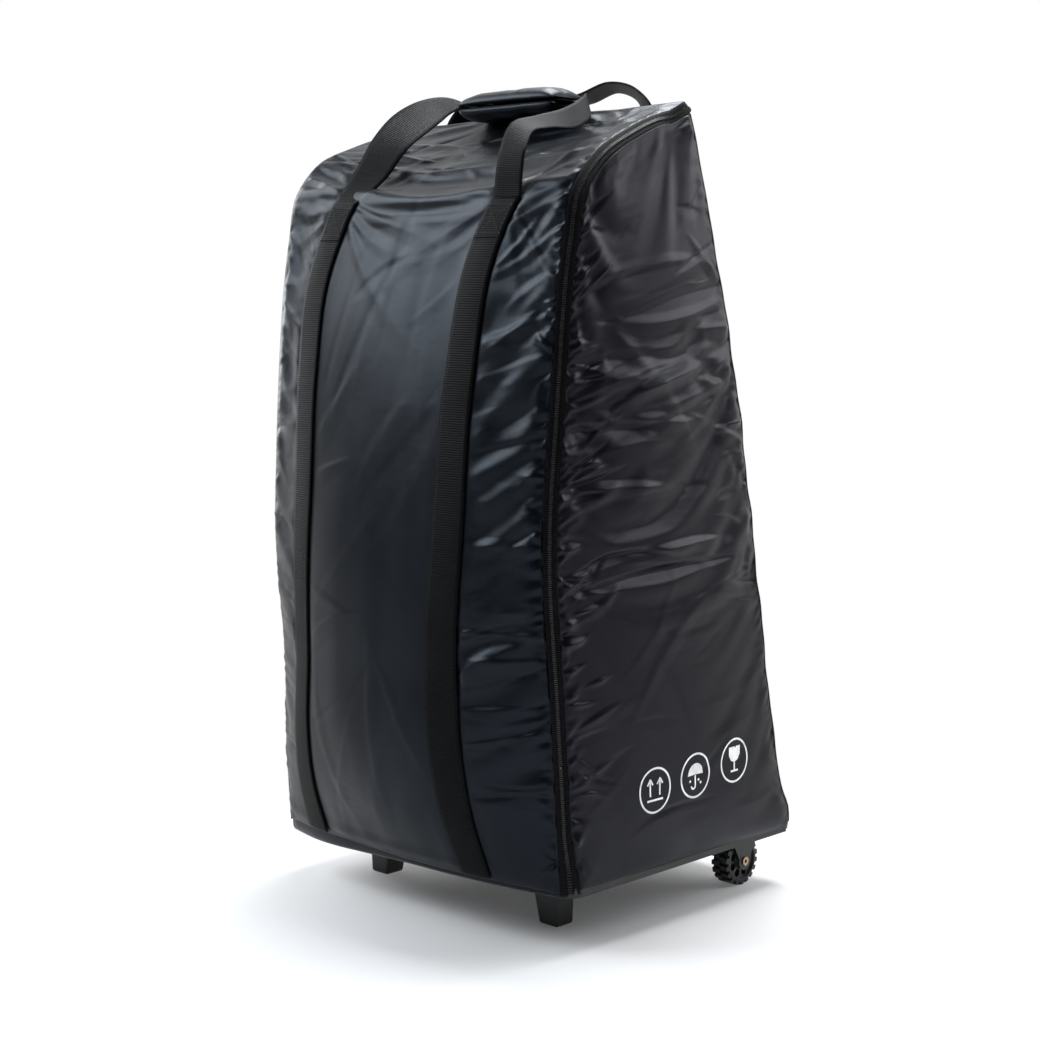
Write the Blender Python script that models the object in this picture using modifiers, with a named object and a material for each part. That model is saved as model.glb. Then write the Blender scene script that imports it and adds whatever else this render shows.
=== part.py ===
"""Tall padded wheeled travel bag with a zipped front flap, carry loops, two feet and two wheels."""

import math

import bmesh
import bpy
import numpy as np
from mathutils import Vector

# Main sizes, in metres
WIDTH = 0.600
BASE_DEPTH = 0.484
BASE_Z = 0.080
RIM_HEIGHT = 0.014
GAP = 0.0005
PANEL = 0.005
FLAP_ROWS = 40
BACK_ROWS = 18
ZIP_CUT = 0.014
RIM_BELLY = 0.035
SIDE_PUFF = 0.020
BACK_PUFF = 0.012
Y_CENTRE = 0.1904
HALF = WIDTH / 2
PANEL_Z = BASE_Z + RIM_HEIGHT + GAP

# Edge line of the flap, from the rim up the front, over the shoulder and back along the top
FLAP_EDGE = [(0.0, PANEL_Z), (-0.030, 0.35), (-0.050, 0.555), (-0.035, 0.765), (-0.010, 0.98)]
FLAP_EDGE += [(0.005, 1.041), (0.047, 1.089), (0.124, 1.131), (0.227, 1.166)]
# How far the stuffed front stands forward of the edge line, by height
BELLY = [(PANEL_Z, RIM_BELLY), (0.18, 0.070), (0.27, 0.084), (0.40, 0.074), (0.58, 0.051)]
BELLY += [(0.78, 0.035), (0.98, 0.012), (1.06, 0.008), (1.17, 0.006)]

# Webbing
STRAP_WIDTH = 0.050
STRAP_THICK = 0.002
RIGHT_LINE = [(PANEL_Z, 0.152), (0.27, 0.144), (0.40, 0.140), (0.58, 0.147)]
RIGHT_LINE += [(0.78, 0.142), (1.00, 0.166), (1.05, 0.190)]
LEFT_LINE = [(PANEL_Z, -0.190), (0.27, -0.176), (0.40, -0.168), (0.58, -0.171)]
LEFT_LINE += [(0.78, -0.186), (0.94, -0.184), (1.00, -0.163), (1.05, -0.140)]
FRONT_STRAP_TOP = 1.030
STRAP_FOOT = 0.004
STRAP_LIFT = 0.0013
REAR_STRAP_X = 0.190
REAR_STRAP_TOP = 1.100

# Handle
GRIP_HALF = 0.105
GRIP_Y = 0.190
GRIP_Z = 1.181
GRIP_BACK = 0.222
GRIP_THICK = 0.005

# Running gear
WHEEL_R = 0.0385
WHEEL_WIDTH = 0.031
WHEEL_X = 0.2465
WHEEL_Y = 0.422
BORE_R = 0.0046
AXLE_R = 0.0042
CHEEK = 0.003
CHEEK_GAP = 0.0015
FOOT_X = 0.176
FOOT_Y = 0.088
FOOT_TOP = (0.050, 0.045)
FOOT_FOOT = (0.036, 0.035)

SLIDER_X = 0.012
PULL_LENGTH = 0.034

for old in list(bpy.data.objects):
    bpy.data.objects.remove(old)
parts = bpy.data.collections.new("travel_bag")
cutters = bpy.data.collections.new("cutters")
for group in (parts, cutters):
    bpy.context.scene.collection.children.link(group)
joints = {}


def material(name, colour, rough, metal=0.0):
    made = bpy.data.materials.new(name)
    made.use_nodes = True
    node = made.node_tree.nodes["Principled BSDF"]
    node.inputs["Base Color"].default_value = (*colour, 1.0)
    node.inputs["Roughness"].default_value = rough
    node.inputs["Metallic"].default_value = metal
    return made


NYLON = (0.030, 0.031, 0.036)
WEB = (0.022, 0.022, 0.025)
PLASTIC = (0.018, 0.018, 0.019)


def pivot(name, place):
    """An empty on a joint axis, which the pieces of that body hang from."""
    joints[name] = bpy.data.objects.new(name + "_pivot", None)
    joints[name].location = Vector(place) - Vector((0, Y_CENTRE, 0))
    parts.objects.link(joints[name])


def finish(mesh_data, name, look, body=None, group=None):
    """Turns a bmesh in bag coordinates into a named object on its body."""
    shift = Vector((0, -Y_CENTRE, 0))
    if body:
        shift = shift - joints[body].location
    bmesh.ops.translate(mesh_data, verts=mesh_data.verts, vec=shift)
    mesh = bpy.data.meshes.new(name)
    mesh_data.to_mesh(mesh)
    mesh_data.free()
    made = bpy.data.objects.new(name, mesh)
    (group or parts).objects.link(made)
    if body:
        made.parent = joints[body]
    else:
        made.location = (0, 0, 0)
    if look:
        mesh.materials.append(material(name, *look))
    return made


def face_out(mesh_data):
    """Points the faces of a closed mesh outwards."""
    bmesh.ops.recalc_face_normals(mesh_data, faces=mesh_data.faces)
    if mesh_data.calc_volume(signed=True) < 0:
        bmesh.ops.reverse_faces(mesh_data, faces=mesh_data.faces)


def block(name, place, look, body=None):
    """A cube whose corners, from -0.5 to 0.5, are moved by place(x, y, z)."""
    mesh_data = bmesh.new()
    bmesh.ops.create_cube(mesh_data, size=1)
    for vert in mesh_data.verts:
        vert.co = place(*vert.co)
    face_out(mesh_data)
    return finish(mesh_data, name, look, body)


def along(points, t):
    """Value at t of a smooth line through (t, value) pairs."""
    ts = np.array([p[0] for p in points])
    vs = np.array([p[1] for p in points])
    slopes = np.gradient(vs, ts)
    t = min(max(t, ts[0]), ts[-1])
    i = min(int(np.searchsorted(ts, t, "right")) - 1, len(ts) - 2)
    h = ts[i + 1] - ts[i]
    k = (t - ts[i]) / h
    a = (1 + 2 * k) * (1 - k) ** 2 * vs[i] + k * (1 - k) ** 2 * h * slopes[i]
    return float(a + k * k * (3 - 2 * k) * vs[i + 1] + k * k * (k - 1) * h * slopes[i + 1])


class Path:
    """A smooth line through a few points, read by its share of the length."""

    def __init__(self, points):
        pts = np.array(points, float)
        steps = np.r_[0, np.cumsum(np.linalg.norm(np.diff(pts, axis=0), axis=1))]
        fine = np.linspace(0, steps[-1], 400)
        cols = [[along(list(zip(steps, pts[:, c])), t) for t in fine] for c in range(pts.shape[1])]
        self.line = np.array(cols).T
        length = np.r_[0, np.cumsum(np.linalg.norm(np.diff(self.line, axis=0), axis=1))]
        self.length = length[-1]
        self.share = length / length[-1]

    def at(self, s):
        return np.array([np.interp(s, self.share, c) for c in self.line.T])

    def tangent(self, s):
        way = self.at(min(s + 0.004, 1)) - self.at(max(s - 0.004, 0))
        return way / np.linalg.norm(way)

    def share_at(self, column, value):
        return float(np.interp(value, self.line[:, column], self.share))


edge = Path(FLAP_EDGE)
BACK_TOP = np.array([0.227, 1.166])
BACK_BASE = np.array([BASE_DEPTH, PANEL_Z])
SHOULDER = edge.share_at(1, 1.050)
FLAP_END = 1 - ZIP_CUT / edge.length
back_way = (BACK_TOP - BACK_BASE) / np.linalg.norm(BACK_TOP - BACK_BASE)
BACK_LENGTH = float(np.linalg.norm(BACK_TOP - BACK_BASE))
back_out = np.array([back_way[1], -back_way[0]])


def outward(s):
    """Direction out of the bag at a share of the flap's edge line."""
    y, z = edge.tangent(s)
    return np.array([-z, y])


def flap_point(x, s, lift=0.0):
    half = HALF - ZIP_CUT
    level = np.array([1, min(1, s / 0.15)])
    y, z = edge.at(s) + outward(s) * level * (along(BELLY, edge.at(s)[1]) * (1 - (x / half) ** 2) + lift)
    return Vector((x, y, z))


def back_point(x, v, lift=0.0):
    bow = BACK_PUFF * (1 - (x / HALF) ** 2) * 4 * v * (1 - v)
    y, z = BACK_BASE + back_way * BACK_LENGTH * v + back_out * (bow + lift)
    return Vector((x, y, z))


def surface(name, columns, rows, place, thick, out, look, body=None, offset=-1.0):
    """A grid bent by place(u, v), with u and v from 0 to 1, and given a thickness."""
    mesh_data = bmesh.new()
    bmesh.ops.create_grid(mesh_data, x_segments=columns, y_segments=rows, size=1)
    for vert in mesh_data.verts:
        vert.co = place((vert.co.x + 1) / 2, (vert.co.y + 1) / 2)
    bmesh.ops.recalc_face_normals(mesh_data, faces=mesh_data.faces)
    mesh_data.normal_update()
    if sum(face.normal.dot(Vector(out)) * face.calc_area() for face in mesh_data.faces) < 0:
        bmesh.ops.reverse_faces(mesh_data, faces=mesh_data.faces)
    made = finish(mesh_data, name, look, body)
    shell = made.modifiers.new("thickness", "SOLIDIFY")
    shell.thickness = thick
    shell.offset = offset
    shell.use_even_offset = True
    shell.thickness_clamp = 0.0
    return made


def prism(name, outline, axis, start, depth, look, body=None, group=None):
    """A flat outline pushed along axis 0, 1 or 2; outline points are the other two coordinates."""
    mesh_data = bmesh.new()
    ring = []
    for a, b in outline:
        co = [a, b]
        co.insert(axis, start)
        ring.append(mesh_data.verts.new(co))
    face = mesh_data.faces.new(ring)
    way = [0.0, 0.0, 0.0]
    way[axis] = depth
    pushed = bmesh.ops.extrude_face_region(mesh_data, geom=[face])["geom"]
    bmesh.ops.translate(mesh_data, verts=[g for g in pushed if isinstance(g, bmesh.types.BMVert)], vec=way)
    face_out(mesh_data)
    return finish(mesh_data, name, look, body, group)


def lathe(name, profile, place, look, body=None, steps=32):
    """A closed (x, radius) profile spun about the X line through place."""
    mesh_data = bmesh.new()
    ring = [mesh_data.verts.new((place[0] + x, place[1] + r, place[2])) for x, r in profile]
    sides = [mesh_data.edges.new((ring[i - 1], ring[i])) for i in range(len(ring))]
    spin = dict(axis=(1, 0, 0), cent=place, angle=math.tau, steps=steps, use_merge=True)
    bmesh.ops.spin(mesh_data, geom=ring + sides, use_duplicate=False, **spin)
    bmesh.ops.remove_doubles(mesh_data, verts=mesh_data.verts, dist=1e-6)
    face_out(mesh_data)
    return finish(mesh_data, name, look, body)


def combine(target, other, operation):
    step = target.modifiers.new(operation.lower(), "BOOLEAN")
    step.operation = operation
    step.solver = "EXACT"
    step.object = other
    other.hide_render = True
    other.display_type = "WIRE"


def rounded(made, width, segments=2):
    bevel = made.modifiers.new("rounded", "BEVEL")
    bevel.width = width
    bevel.segments = segments
    bevel.limit_method = "ANGLE"
    bevel.angle_limit = math.radians(40)
    return made


def tube(name, points, radius, look, body=None):
    """A round cord along a smooth line of points."""
    curve = bpy.data.curves.new(name, "CURVE")
    curve.dimensions = "3D"
    line = curve.splines.new("POLY")
    line.points.add(len(points) - 1)
    for spot, place in zip(line.points, points):
        spot.co = (*(Vector(place) - Vector((0, Y_CENTRE, 0))), 1)
    curve.bevel_depth = radius
    curve.bevel_resolution = 1
    curve.use_fill_caps = True
    made = bpy.data.objects.new(name, curve)
    parts.objects.link(made)
    curve.materials.append(material(name, *look))
    return made


# Joint axes
HINGE = (0, -RIM_BELLY, PANEL_Z)
zip_mid = (edge.at(FLAP_END) + BACK_TOP - back_way * ZIP_CUT) / 2
zip_way = BACK_TOP - back_way * ZIP_CUT - edge.at(FLAP_END)
zip_way = zip_way / np.linalg.norm(zip_way)
zip_out = np.array([-zip_way[1], zip_way[0]])
SLIDER_LIFT = 0.0034
slider_mid = zip_mid + zip_out * SLIDER_LIFT
pull_axis = slider_mid + zip_out * 0.0056 - back_way * 0.004
pivot("flap", HINGE)
pivot("grip", (0, GRIP_BACK + GRIP_THICK, GRIP_Z))
for side, sign in (("right", 1), ("left", -1)):
    pivot(side + "_wheel", (sign * WHEEL_X, WHEEL_Y, WHEEL_R))
    pivot(side + "_slider", (sign * SLIDER_X, *slider_mid))
    pivot(side + "_pull", (sign * SLIDER_X, *pull_axis))


# Base: an open tray with a curved front, and a stiff board inside it
def base_outline(inset):
    corner = 0.022
    rear = 0.004
    right = HALF - inset
    back = BASE_DEPTH - inset
    wide = right - corner
    front = []
    for k in range(9):
        x = wide * (k / 4 - 1)
        front.append((x, inset - RIM_BELLY * (1 - (x / HALF) ** 2)))
    meet = front[-1][1] + corner
    arc = [math.radians(a) for a in (30, 60)]
    ring = front + [(wide + corner * math.sin(a), meet - corner * math.cos(a)) for a in arc]
    ring += [(right, meet), (right, back / 2), (right, back - rear)]
    ring += [(right - rear + rear * math.cos(a), back - rear + rear * math.sin(a)) for a in arc]
    ring += [(right - rear, back), (0, back)]
    left = [(-x, y) for x, y in reversed(ring[len(front):]) if x > 0]
    return ring + left


mesh_data = bmesh.new()
low = [mesh_data.verts.new((x, y, BASE_Z)) for x, y in base_outline(0)]
high = [mesh_data.verts.new((x, y, BASE_Z + RIM_HEIGHT)) for x, y in base_outline(0)]
mesh_data.faces.new(low)
for k in range(len(low)):
    mesh_data.faces.new((low[k - 1], low[k], high[k], high[k - 1]))
bmesh.ops.recalc_face_normals(mesh_data, faces=mesh_data.faces)
mesh_data.normal_update()
if min(mesh_data.faces, key=lambda f: f.calc_center_median().z).normal.z > 0:
    bmesh.ops.reverse_faces(mesh_data, faces=mesh_data.faces)
tray = finish(mesh_data, "base_tray", (PLASTIC, 0.5))
wall = tray.modifiers.new("wall", "SOLIDIFY")
wall.thickness = 0.003
wall.offset = -1.0
wall.use_even_offset = True
BOARD_Z = BASE_Z + 0.003 + GAP
prism("base_board", base_outline(0.012), 2, BOARD_Z, 0.004, ((0.05, 0.05, 0.055), 0.7))

# Front flap: front, shoulder and top in one padded panel
flap_half = HALF - ZIP_CUT


def flap_place(u, v):
    return flap_point(flap_half * (2 * u - 1), v * FLAP_END)


surface("front_panel", 24, FLAP_ROWS, flap_place, PANEL, (0, -1, 0.4), (NYLON, 0.55), "flap")

# Side and back panels
back_seam = BACK_TOP - back_way * ZIP_CUT
side_base_front = np.array([ZIP_CUT, PANEL_Z])


def zip_side(s):
    """Edge of the side panel that the zip tape is sewn to."""
    spot = edge.at(s) - outward(s) * ZIP_CUT
    return spot + (side_base_front - edge.at(0) + outward(0) * ZIP_CUT) * max(0, 1 - s / 0.06)


def side_place(sign):
    corners = [side_base_front, BACK_BASE, zip_side(SHOULDER), back_seam]

    def place(u, v):
        front = zip_side(v * SHOULDER)
        rear = BACK_BASE + (back_seam - BACK_BASE) * v
        low = corners[0] + (corners[1] - corners[0]) * u
        top = zip_side(SHOULDER + u * (FLAP_END - SHOULDER))
        top = top + (back_seam - zip_side(FLAP_END)) * u
        flat = (1 - u) * front + u * rear + (1 - v) * low + v * top
        flat = flat - (1 - u) * (1 - v) * corners[0] - u * (1 - v) * corners[1]
        flat = flat - (1 - u) * v * corners[2] - u * v * corners[3]
        puff = SIDE_PUFF * math.sin(math.pi * u) * math.sin(math.pi * v) ** 0.7
        return Vector((sign * (HALF + puff), flat[0], flat[1]))

    return place


for side, sign in (("right", 1), ("left", -1)):
    surface(side + "_side_panel", 10, 22, side_place(sign), PANEL, (sign, 0, 0), (NYLON, 0.55))

BACK_HALF = HALF - PANEL - GAP
BACK_START = 0.35 * PANEL / BACK_LENGTH
BACK_END = 1 - ZIP_CUT / BACK_LENGTH


def back_place(u, v):
    return back_point(BACK_HALF * (2 * u - 1), BACK_START + v * (BACK_END - BACK_START))


surface("back_panel", 10, BACK_ROWS, back_place, PANEL, (0, 1, 0.2), (NYLON, 0.55))


# Zip tapes: one half on the flap, one on the shell, with a slit between them
def side_tape(sign, start, end):
    def place(u, v):
        s = v * FLAP_END * 0.992
        share = start + (end - start) * u
        flap_side = np.array([HALF - ZIP_CUT, *edge.at(s)])
        shell_side = np.array([HALF, *zip_side(s)])
        spot = flap_side + (shell_side - flap_side) * share
        return Vector((sign * spot[0], spot[1], spot[2]))

    return place


def rear_tape(start, end):
    def place(u, v):
        share = start + (end - start) * v
        spot = edge.at(FLAP_END) + (back_seam - edge.at(FLAP_END)) * share
        return Vector(((2 * u - 1) * (HALF - ZIP_CUT - 0.004), *spot))

    return place


TAPES = (("flap_tape", 0.13, 0.48, "flap"), ("shell_tape", 0.52, 0.87, None))
for label, start, end, body in TAPES:
    for side, sign in (("right", 1), ("left", -1)):
        place = side_tape(sign, start, end)
        surface(side + "_" + label, 2, 30, place, 0.0012, (sign, -1, 0), (WEB, 0.6), body)
    surface("rear_" + label, 12, 2, rear_tape(start, end), 0.0012, (0, 1, 1), (WEB, 0.6), body)

# Piping along the rear corners and round the base
for side, sign in (("right", 1), ("left", -1)):
    cord = []
    for k in range(10):
        y, z = BACK_BASE + back_way * (0.012 + (BACK_LENGTH - ZIP_CUT - 0.02) * k / 9) + back_out * 0.0026
        cord.append((sign * (HALF + 0.0026), y, z))
    tube(side + "_rear_piping", cord, 0.003, (WEB, 0.5))
ring = base_outline(-0.0036)
skirt = [(x, y, PANEL_Z - 0.001) for x, y in ring[10:] if y > 0.005]
tube("base_piping", skirt, 0.003, (WEB, 0.5))


# Webbing sewn to the front and the back, in step with the rows of the panel under it
STRAP_ROWS = round(edge.share_at(1, FRONT_STRAP_TOP) / FLAP_END * FLAP_ROWS)
REAR_ROWS = round((REAR_STRAP_TOP - PANEL_Z) / (BACK_TOP[1] - PANEL_Z) / BACK_END * BACK_ROWS)


def front_strap(sign):
    line = RIGHT_LINE if sign > 0 else LEFT_LINE

    def place(u, v):
        s = max(STRAP_FOOT, v * STRAP_ROWS * FLAP_END / FLAP_ROWS)
        return flap_point(along(line, edge.at(s)[1]) + (u - 0.5) * STRAP_WIDTH, s, STRAP_LIFT)

    return place


def rear_strap(sign):
    def place(u, v):
        row = max(0.012, BACK_START + v * REAR_ROWS * (BACK_END - BACK_START) / BACK_ROWS)
        return back_point(sign * REAR_STRAP_X + (u - 0.5) * STRAP_WIDTH, row, 0.0006)

    return place


for side, sign in (("right", 1), ("left", -1)):
    look = (WEB, 0.6)
    front = front_strap(sign)
    surface(side + "_front_strap", 3, STRAP_ROWS, front, STRAP_THICK, (0, -1, 0), look, "flap", 1.0)
    surface(side + "_rear_strap", 3, REAR_ROWS, rear_strap(sign), STRAP_THICK, (0, 1, 0), look, None, 1.0)


# Carry loops: a band between two edge lines, from the strap's top to the grip and down again
def band(outer, inner):
    lines = (Path(outer), Path(inner))

    def place(u, v):
        spot = lines[0].at(v) * (1 - u) + lines[1].at(v) * u
        return Vector(spot)

    return place


def mirrored(points, lean=0.0, far_foot=None):
    """Both sides of a loop; lean moves the far side along X towards far_foot, where its strap ends."""
    far = [(lean * (1 - k / (len(points) - 1)) - x, y, z) for k, (x, y, z) in enumerate(points)]
    far[0] = far_foot or far[0]
    return points + far[::-1]


flap_foot = (STRAP_ROWS + 0.02) * FLAP_END / FLAP_ROWS
back_foot = BACK_START + (REAR_ROWS + 0.01) * (BACK_END - BACK_START) / BACK_ROWS
right_x, left_x = (along(line, edge.at(flap_foot)[1]) for line in (RIGHT_LINE, LEFT_LINE))
LOOP_LEAN = right_x + left_x
FOOT_LIFT = STRAP_LIFT + 0.9 * STRAP_THICK
front_feet = [tuple(flap_point(right_x + k * STRAP_WIDTH / 2, flap_foot, FOOT_LIFT)) for k in (1, -1)]
far_feet = [tuple(flap_point(left_x - k * STRAP_WIDTH / 2, flap_foot, FOOT_LIFT)) for k in (1, -1)]
rear_lift = 0.0006 + STRAP_THICK / 2
rear_feet = [back_point(REAR_STRAP_X + k * STRAP_WIDTH / 2, back_foot, rear_lift) for k in (1, -1)]
FRONT_OUTER = [front_feet[0], (0.213, -0.008, 1.100), (0.206, 0.060, 1.168)]
FRONT_OUTER += [(0.172, 0.160, 1.190), (0.128, 0.211, GRIP_Z), (0.108, 0.212, GRIP_Z), (0.040, 0.212, GRIP_Z)]
FRONT_INNER = [front_feet[1], (0.163, -0.006, 1.095), (0.158, 0.055, 1.138)]
FRONT_INNER += [(0.140, 0.130, 1.168), (0.122, 0.163, GRIP_Z), (0.108, 0.164, GRIP_Z), (0.040, 0.164, GRIP_Z)]
REAR_OUTER = [tuple(rear_feet[0]), (0.213, 0.252, 1.165), (0.160, 0.250, 1.205), (0.080, 0.250, 1.210)]
REAR_INNER = [tuple(rear_feet[1]), (0.163, 0.254, 1.140), (0.130, 0.258, 1.162), (0.070, 0.259, 1.166)]
look = (WEB, 0.6)
front_outer = mirrored(FRONT_OUTER, LOOP_LEAN, far_feet[0])
place = band(front_outer, mirrored(FRONT_INNER, LOOP_LEAN, far_feet[1]))
surface("front_handle_loop", 3, 44, place, STRAP_THICK, (0, -1, 1), look, "flap", 0.0)
place = band(mirrored(REAR_OUTER), mirrored(REAR_INNER))
surface("rear_handle_loop", 3, 40, place, STRAP_THICK, (0, 1, 0), look, None, 0.0)


# Padded grip: a lower half and a hinged upper half, open at the front
def grip_half(way):
    lips = Path([(GRIP_BACK - 0.0004, way * 0.0002), (GRIP_BACK - 0.008, way * 0.0075), (GRIP_Y, way * 0.010)]
                + [(GRIP_Y - 0.025, way * 0.009), (GRIP_Y - 0.042, way * 0.012)])

    def place(u, v):
        y, z = lips.at(v)
        return Vector(((2 * u - 1) * GRIP_HALF, y, GRIP_Z + z))

    return place


for name, way, body in (("grip_pad", -1, "flap"), ("grip_cover", 1, "grip")):
    surface(name, 6, 8, grip_half(way), GRIP_THICK, (0, 0, way), (NYLON, 0.6), body, 1.0)

# Wheels, axles and brackets
tread = WHEEL_WIDTH / 2
wheel_profile = [(-tread, BORE_R), (-tread, 0.011), (-tread + 0.003, 0.013), (-tread + 0.003, 0.029)]
wheel_profile += [(-tread, 0.031), (-tread, WHEEL_R - 0.003), (-tread + 0.003, WHEEL_R)]
wheel_profile += [(-x, r) for x, r in reversed(wheel_profile)]
axle_end = tread + CHEEK_GAP + CHEEK + GAP
axle_head = axle_end + 0.0015
axle_profile = [(-axle_head, 0.0026), (-axle_head, 0.0068), (-axle_end, 0.0068), (-axle_end, AXLE_R)]
axle_profile += [(-x, r) for x, r in reversed(axle_profile)]
cheek_outline = [(WHEEL_Y - 0.034, BASE_Z - GAP), (WHEEL_Y + 0.034, BASE_Z - GAP)]
for a in (20, -10, -40, -70, -90, -110, -140, -170, -200):
    spot = (WHEEL_Y + 0.014 * math.cos(math.radians(a)), WHEEL_R + 0.014 * math.sin(math.radians(a)))
    cheek_outline.append(spot)
circle = [(math.cos(math.tau * k / 16), math.sin(math.tau * k / 16)) for k in range(16)]
for side, sign in (("right", 1), ("left", -1)):
    middle = (sign * WHEEL_X, WHEEL_Y, WHEEL_R)
    wheel = lathe(side + "_wheel", wheel_profile, middle, (PLASTIC, 0.6), side + "_wheel")
    for k in range(8):
        turn = math.tau * (k + 0.5) / 8
        hole = [(WHEEL_Y + 0.021 * math.cos(turn) + 0.0058 * c, WHEEL_R + 0.021 * math.sin(turn) + 0.0058 * s)
                for c, s in circle[::2]]
        window = prism(f"{side}_window_{k}", hole, 0, sign * WHEEL_X - 0.03, 0.06, None, None, cutters)
        combine(wheel, window, "DIFFERENCE")
    lathe(side + "_axle", axle_profile, middle, ((0.45, 0.27, 0.14), 0.35, 1.0), None, 16)
    reach = tread + CHEEK_GAP + CHEEK
    plate = [(WHEEL_Y - 0.034, BASE_Z - GAP), (WHEEL_Y + 0.034, BASE_Z - GAP)]
    plate += [(WHEEL_Y + 0.034, WHEEL_R * 2 + 0.0008), (WHEEL_Y - 0.034, WHEEL_R * 2 + 0.0008)]
    frame_x = sign * WHEEL_X - reach
    bracket = prism(side + "_wheel_bracket", plate, 0, frame_x, 2 * reach, (PLASTIC, 0.45))
    for label, start in (("a", frame_x), ("b", frame_x + 2 * reach - CHEEK)):
        cheek = prism(f"{side}_cheek_{label}", cheek_outline, 0, start, CHEEK, None, None, cutters)
        combine(bracket, cheek, "UNION")
    hole = [(WHEEL_Y + BORE_R * c, WHEEL_R + BORE_R * s) for c, s in circle]
    drill = prism(side + "_axle_hole", hole, 0, frame_x - 0.01, 2 * reach + 0.02, None, None, cutters)
    combine(bracket, drill, "DIFFERENCE")

    # Foot block, tapering on its inner side
    def foot_corner(x, y, z):
        size = FOOT_TOP if z > 0 else FOOT_FOOT
        x = FOOT_X + 0.025 - (0 if x > 0 else size[0])
        return (sign * x, FOOT_Y + y * size[1], BASE_Z - GAP if z > 0 else 0)

    # Zip slider on the rear run, with a hanging pull
    def slider_corner(x, y, z):
        spot = slider_mid + zip_way * y * 0.009 + zip_out * z * 0.006
        return (sign * SLIDER_X + x * 0.012, *spot)

    def pull_corner(x, y, z):
        spot = pull_axis + back_out * (0.0040 + y * 0.002) - back_way * PULL_LENGTH * (0.5 - z)
        return (sign * SLIDER_X + x * 0.008, *spot)

    rounded(block(side + "_foot", foot_corner, (PLASTIC, 0.55)), 0.004)
    rounded(block(side + "_zip_slider", slider_corner, (PLASTIC, 0.4, 1.0), side + "_slider"), 0.0015)
    rounded(block(side + "_zip_pull", pull_corner, (WEB, 0.5), side + "_pull"), 0.0008)
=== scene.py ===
"""Looks of a tall padded wheeled travel bag: cloth panels, webbing, zips, grip, marks and wheels."""

import math

import bmesh
import bpy
import numpy as np
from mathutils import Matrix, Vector
from mathutils.bvhtree import BVHTree


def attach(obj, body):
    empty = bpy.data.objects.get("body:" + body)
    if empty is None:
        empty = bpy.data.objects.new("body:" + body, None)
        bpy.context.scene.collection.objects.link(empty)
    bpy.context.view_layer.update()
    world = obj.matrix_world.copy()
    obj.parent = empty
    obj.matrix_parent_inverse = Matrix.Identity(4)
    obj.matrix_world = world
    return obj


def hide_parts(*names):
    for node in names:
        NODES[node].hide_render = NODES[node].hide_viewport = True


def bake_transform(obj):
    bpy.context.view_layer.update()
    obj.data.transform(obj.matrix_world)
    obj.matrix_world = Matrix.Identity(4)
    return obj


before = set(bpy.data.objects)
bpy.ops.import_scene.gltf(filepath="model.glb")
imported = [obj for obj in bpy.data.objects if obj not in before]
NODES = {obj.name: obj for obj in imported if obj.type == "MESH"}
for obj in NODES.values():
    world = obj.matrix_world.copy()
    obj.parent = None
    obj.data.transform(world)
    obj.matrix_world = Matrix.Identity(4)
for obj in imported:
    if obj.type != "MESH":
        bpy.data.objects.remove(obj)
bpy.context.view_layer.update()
SIDES = (("right", 1), ("left", -1))
HINGE = "hinge"
FRONT_OUT = (0, -1, 0.4)
BACK_OUT = (0, 1, 0.2)

# Sizes of the bag, in metres, as the solids have them
Y_CENTRE = 0.1904
HALF = 0.300
BASE_DEPTH = 0.484
PANEL_Z = 0.0945
ZIP_CUT = 0.014
FLAP_HALF = HALF - ZIP_CUT
RIM_BELLY = 0.035
SIDE_PUFF = 0.020
BACK_PUFF = 0.012
STRAP_WIDTH = 0.050
STRAP_TOP_Z = 1.03
SHOULDER_Z = 1.05
REAR_STRAP_X = 0.190
GRIP_HALF = 0.105
GRIP_Z = 1.181
GRIP_BACK = 0.222
WHEEL_R = 0.0385
WHEEL_X = 0.2465
WHEEL_Y = 0.422
WHEEL_WIDTH = 0.031
FLAP_EDGE = [(-0.014, PANEL_Z), (-0.034, 0.35), (-0.050, 0.555), (-0.035, 0.765), (-0.010, 0.98)]
FLAP_EDGE += [(0.005, 1.041), (0.047, 1.089), (0.124, 1.131), (0.227, 1.166)]
BELLY = [(PANEL_Z, RIM_BELLY), (0.18, 0.070), (0.27, 0.084), (0.40, 0.074), (0.58, 0.051)]
BELLY += [(0.78, 0.035), (0.98, 0.012), (1.06, 0.008), (1.17, 0.006)]
RIGHT_LINE = [(PANEL_Z, 0.152), (0.27, 0.144), (0.40, 0.140), (0.58, 0.147)]
RIGHT_LINE += [(0.78, 0.142), (1.00, 0.166), (1.05, 0.190)]
LEFT_LINE = [(PANEL_Z, -0.190), (0.27, -0.176), (0.40, -0.168), (0.58, -0.171)]
LEFT_LINE += [(0.78, -0.186), (0.94, -0.184), (1.00, -0.163), (1.05, -0.140)]


# Smooth lines
def along(points, t):
    """Values at t of a smooth line through (t, value) pairs."""
    ts = np.array([p[0] for p in points])
    vs = np.array([p[1] for p in points])
    slopes = np.gradient(vs, ts)
    t = np.clip(t, ts[0], ts[-1])
    i = np.clip(np.searchsorted(ts, t, "right") - 1, 0, len(ts) - 2)
    h = ts[i + 1] - ts[i]
    k = (t - ts[i]) / h
    start = (1 + 2 * k) * (1 - k) ** 2 * vs[i] + k * (1 - k) ** 2 * h * slopes[i]
    return start + k * k * (3 - 2 * k) * vs[i + 1] + k * k * (k - 1) * h * slopes[i + 1]


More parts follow.
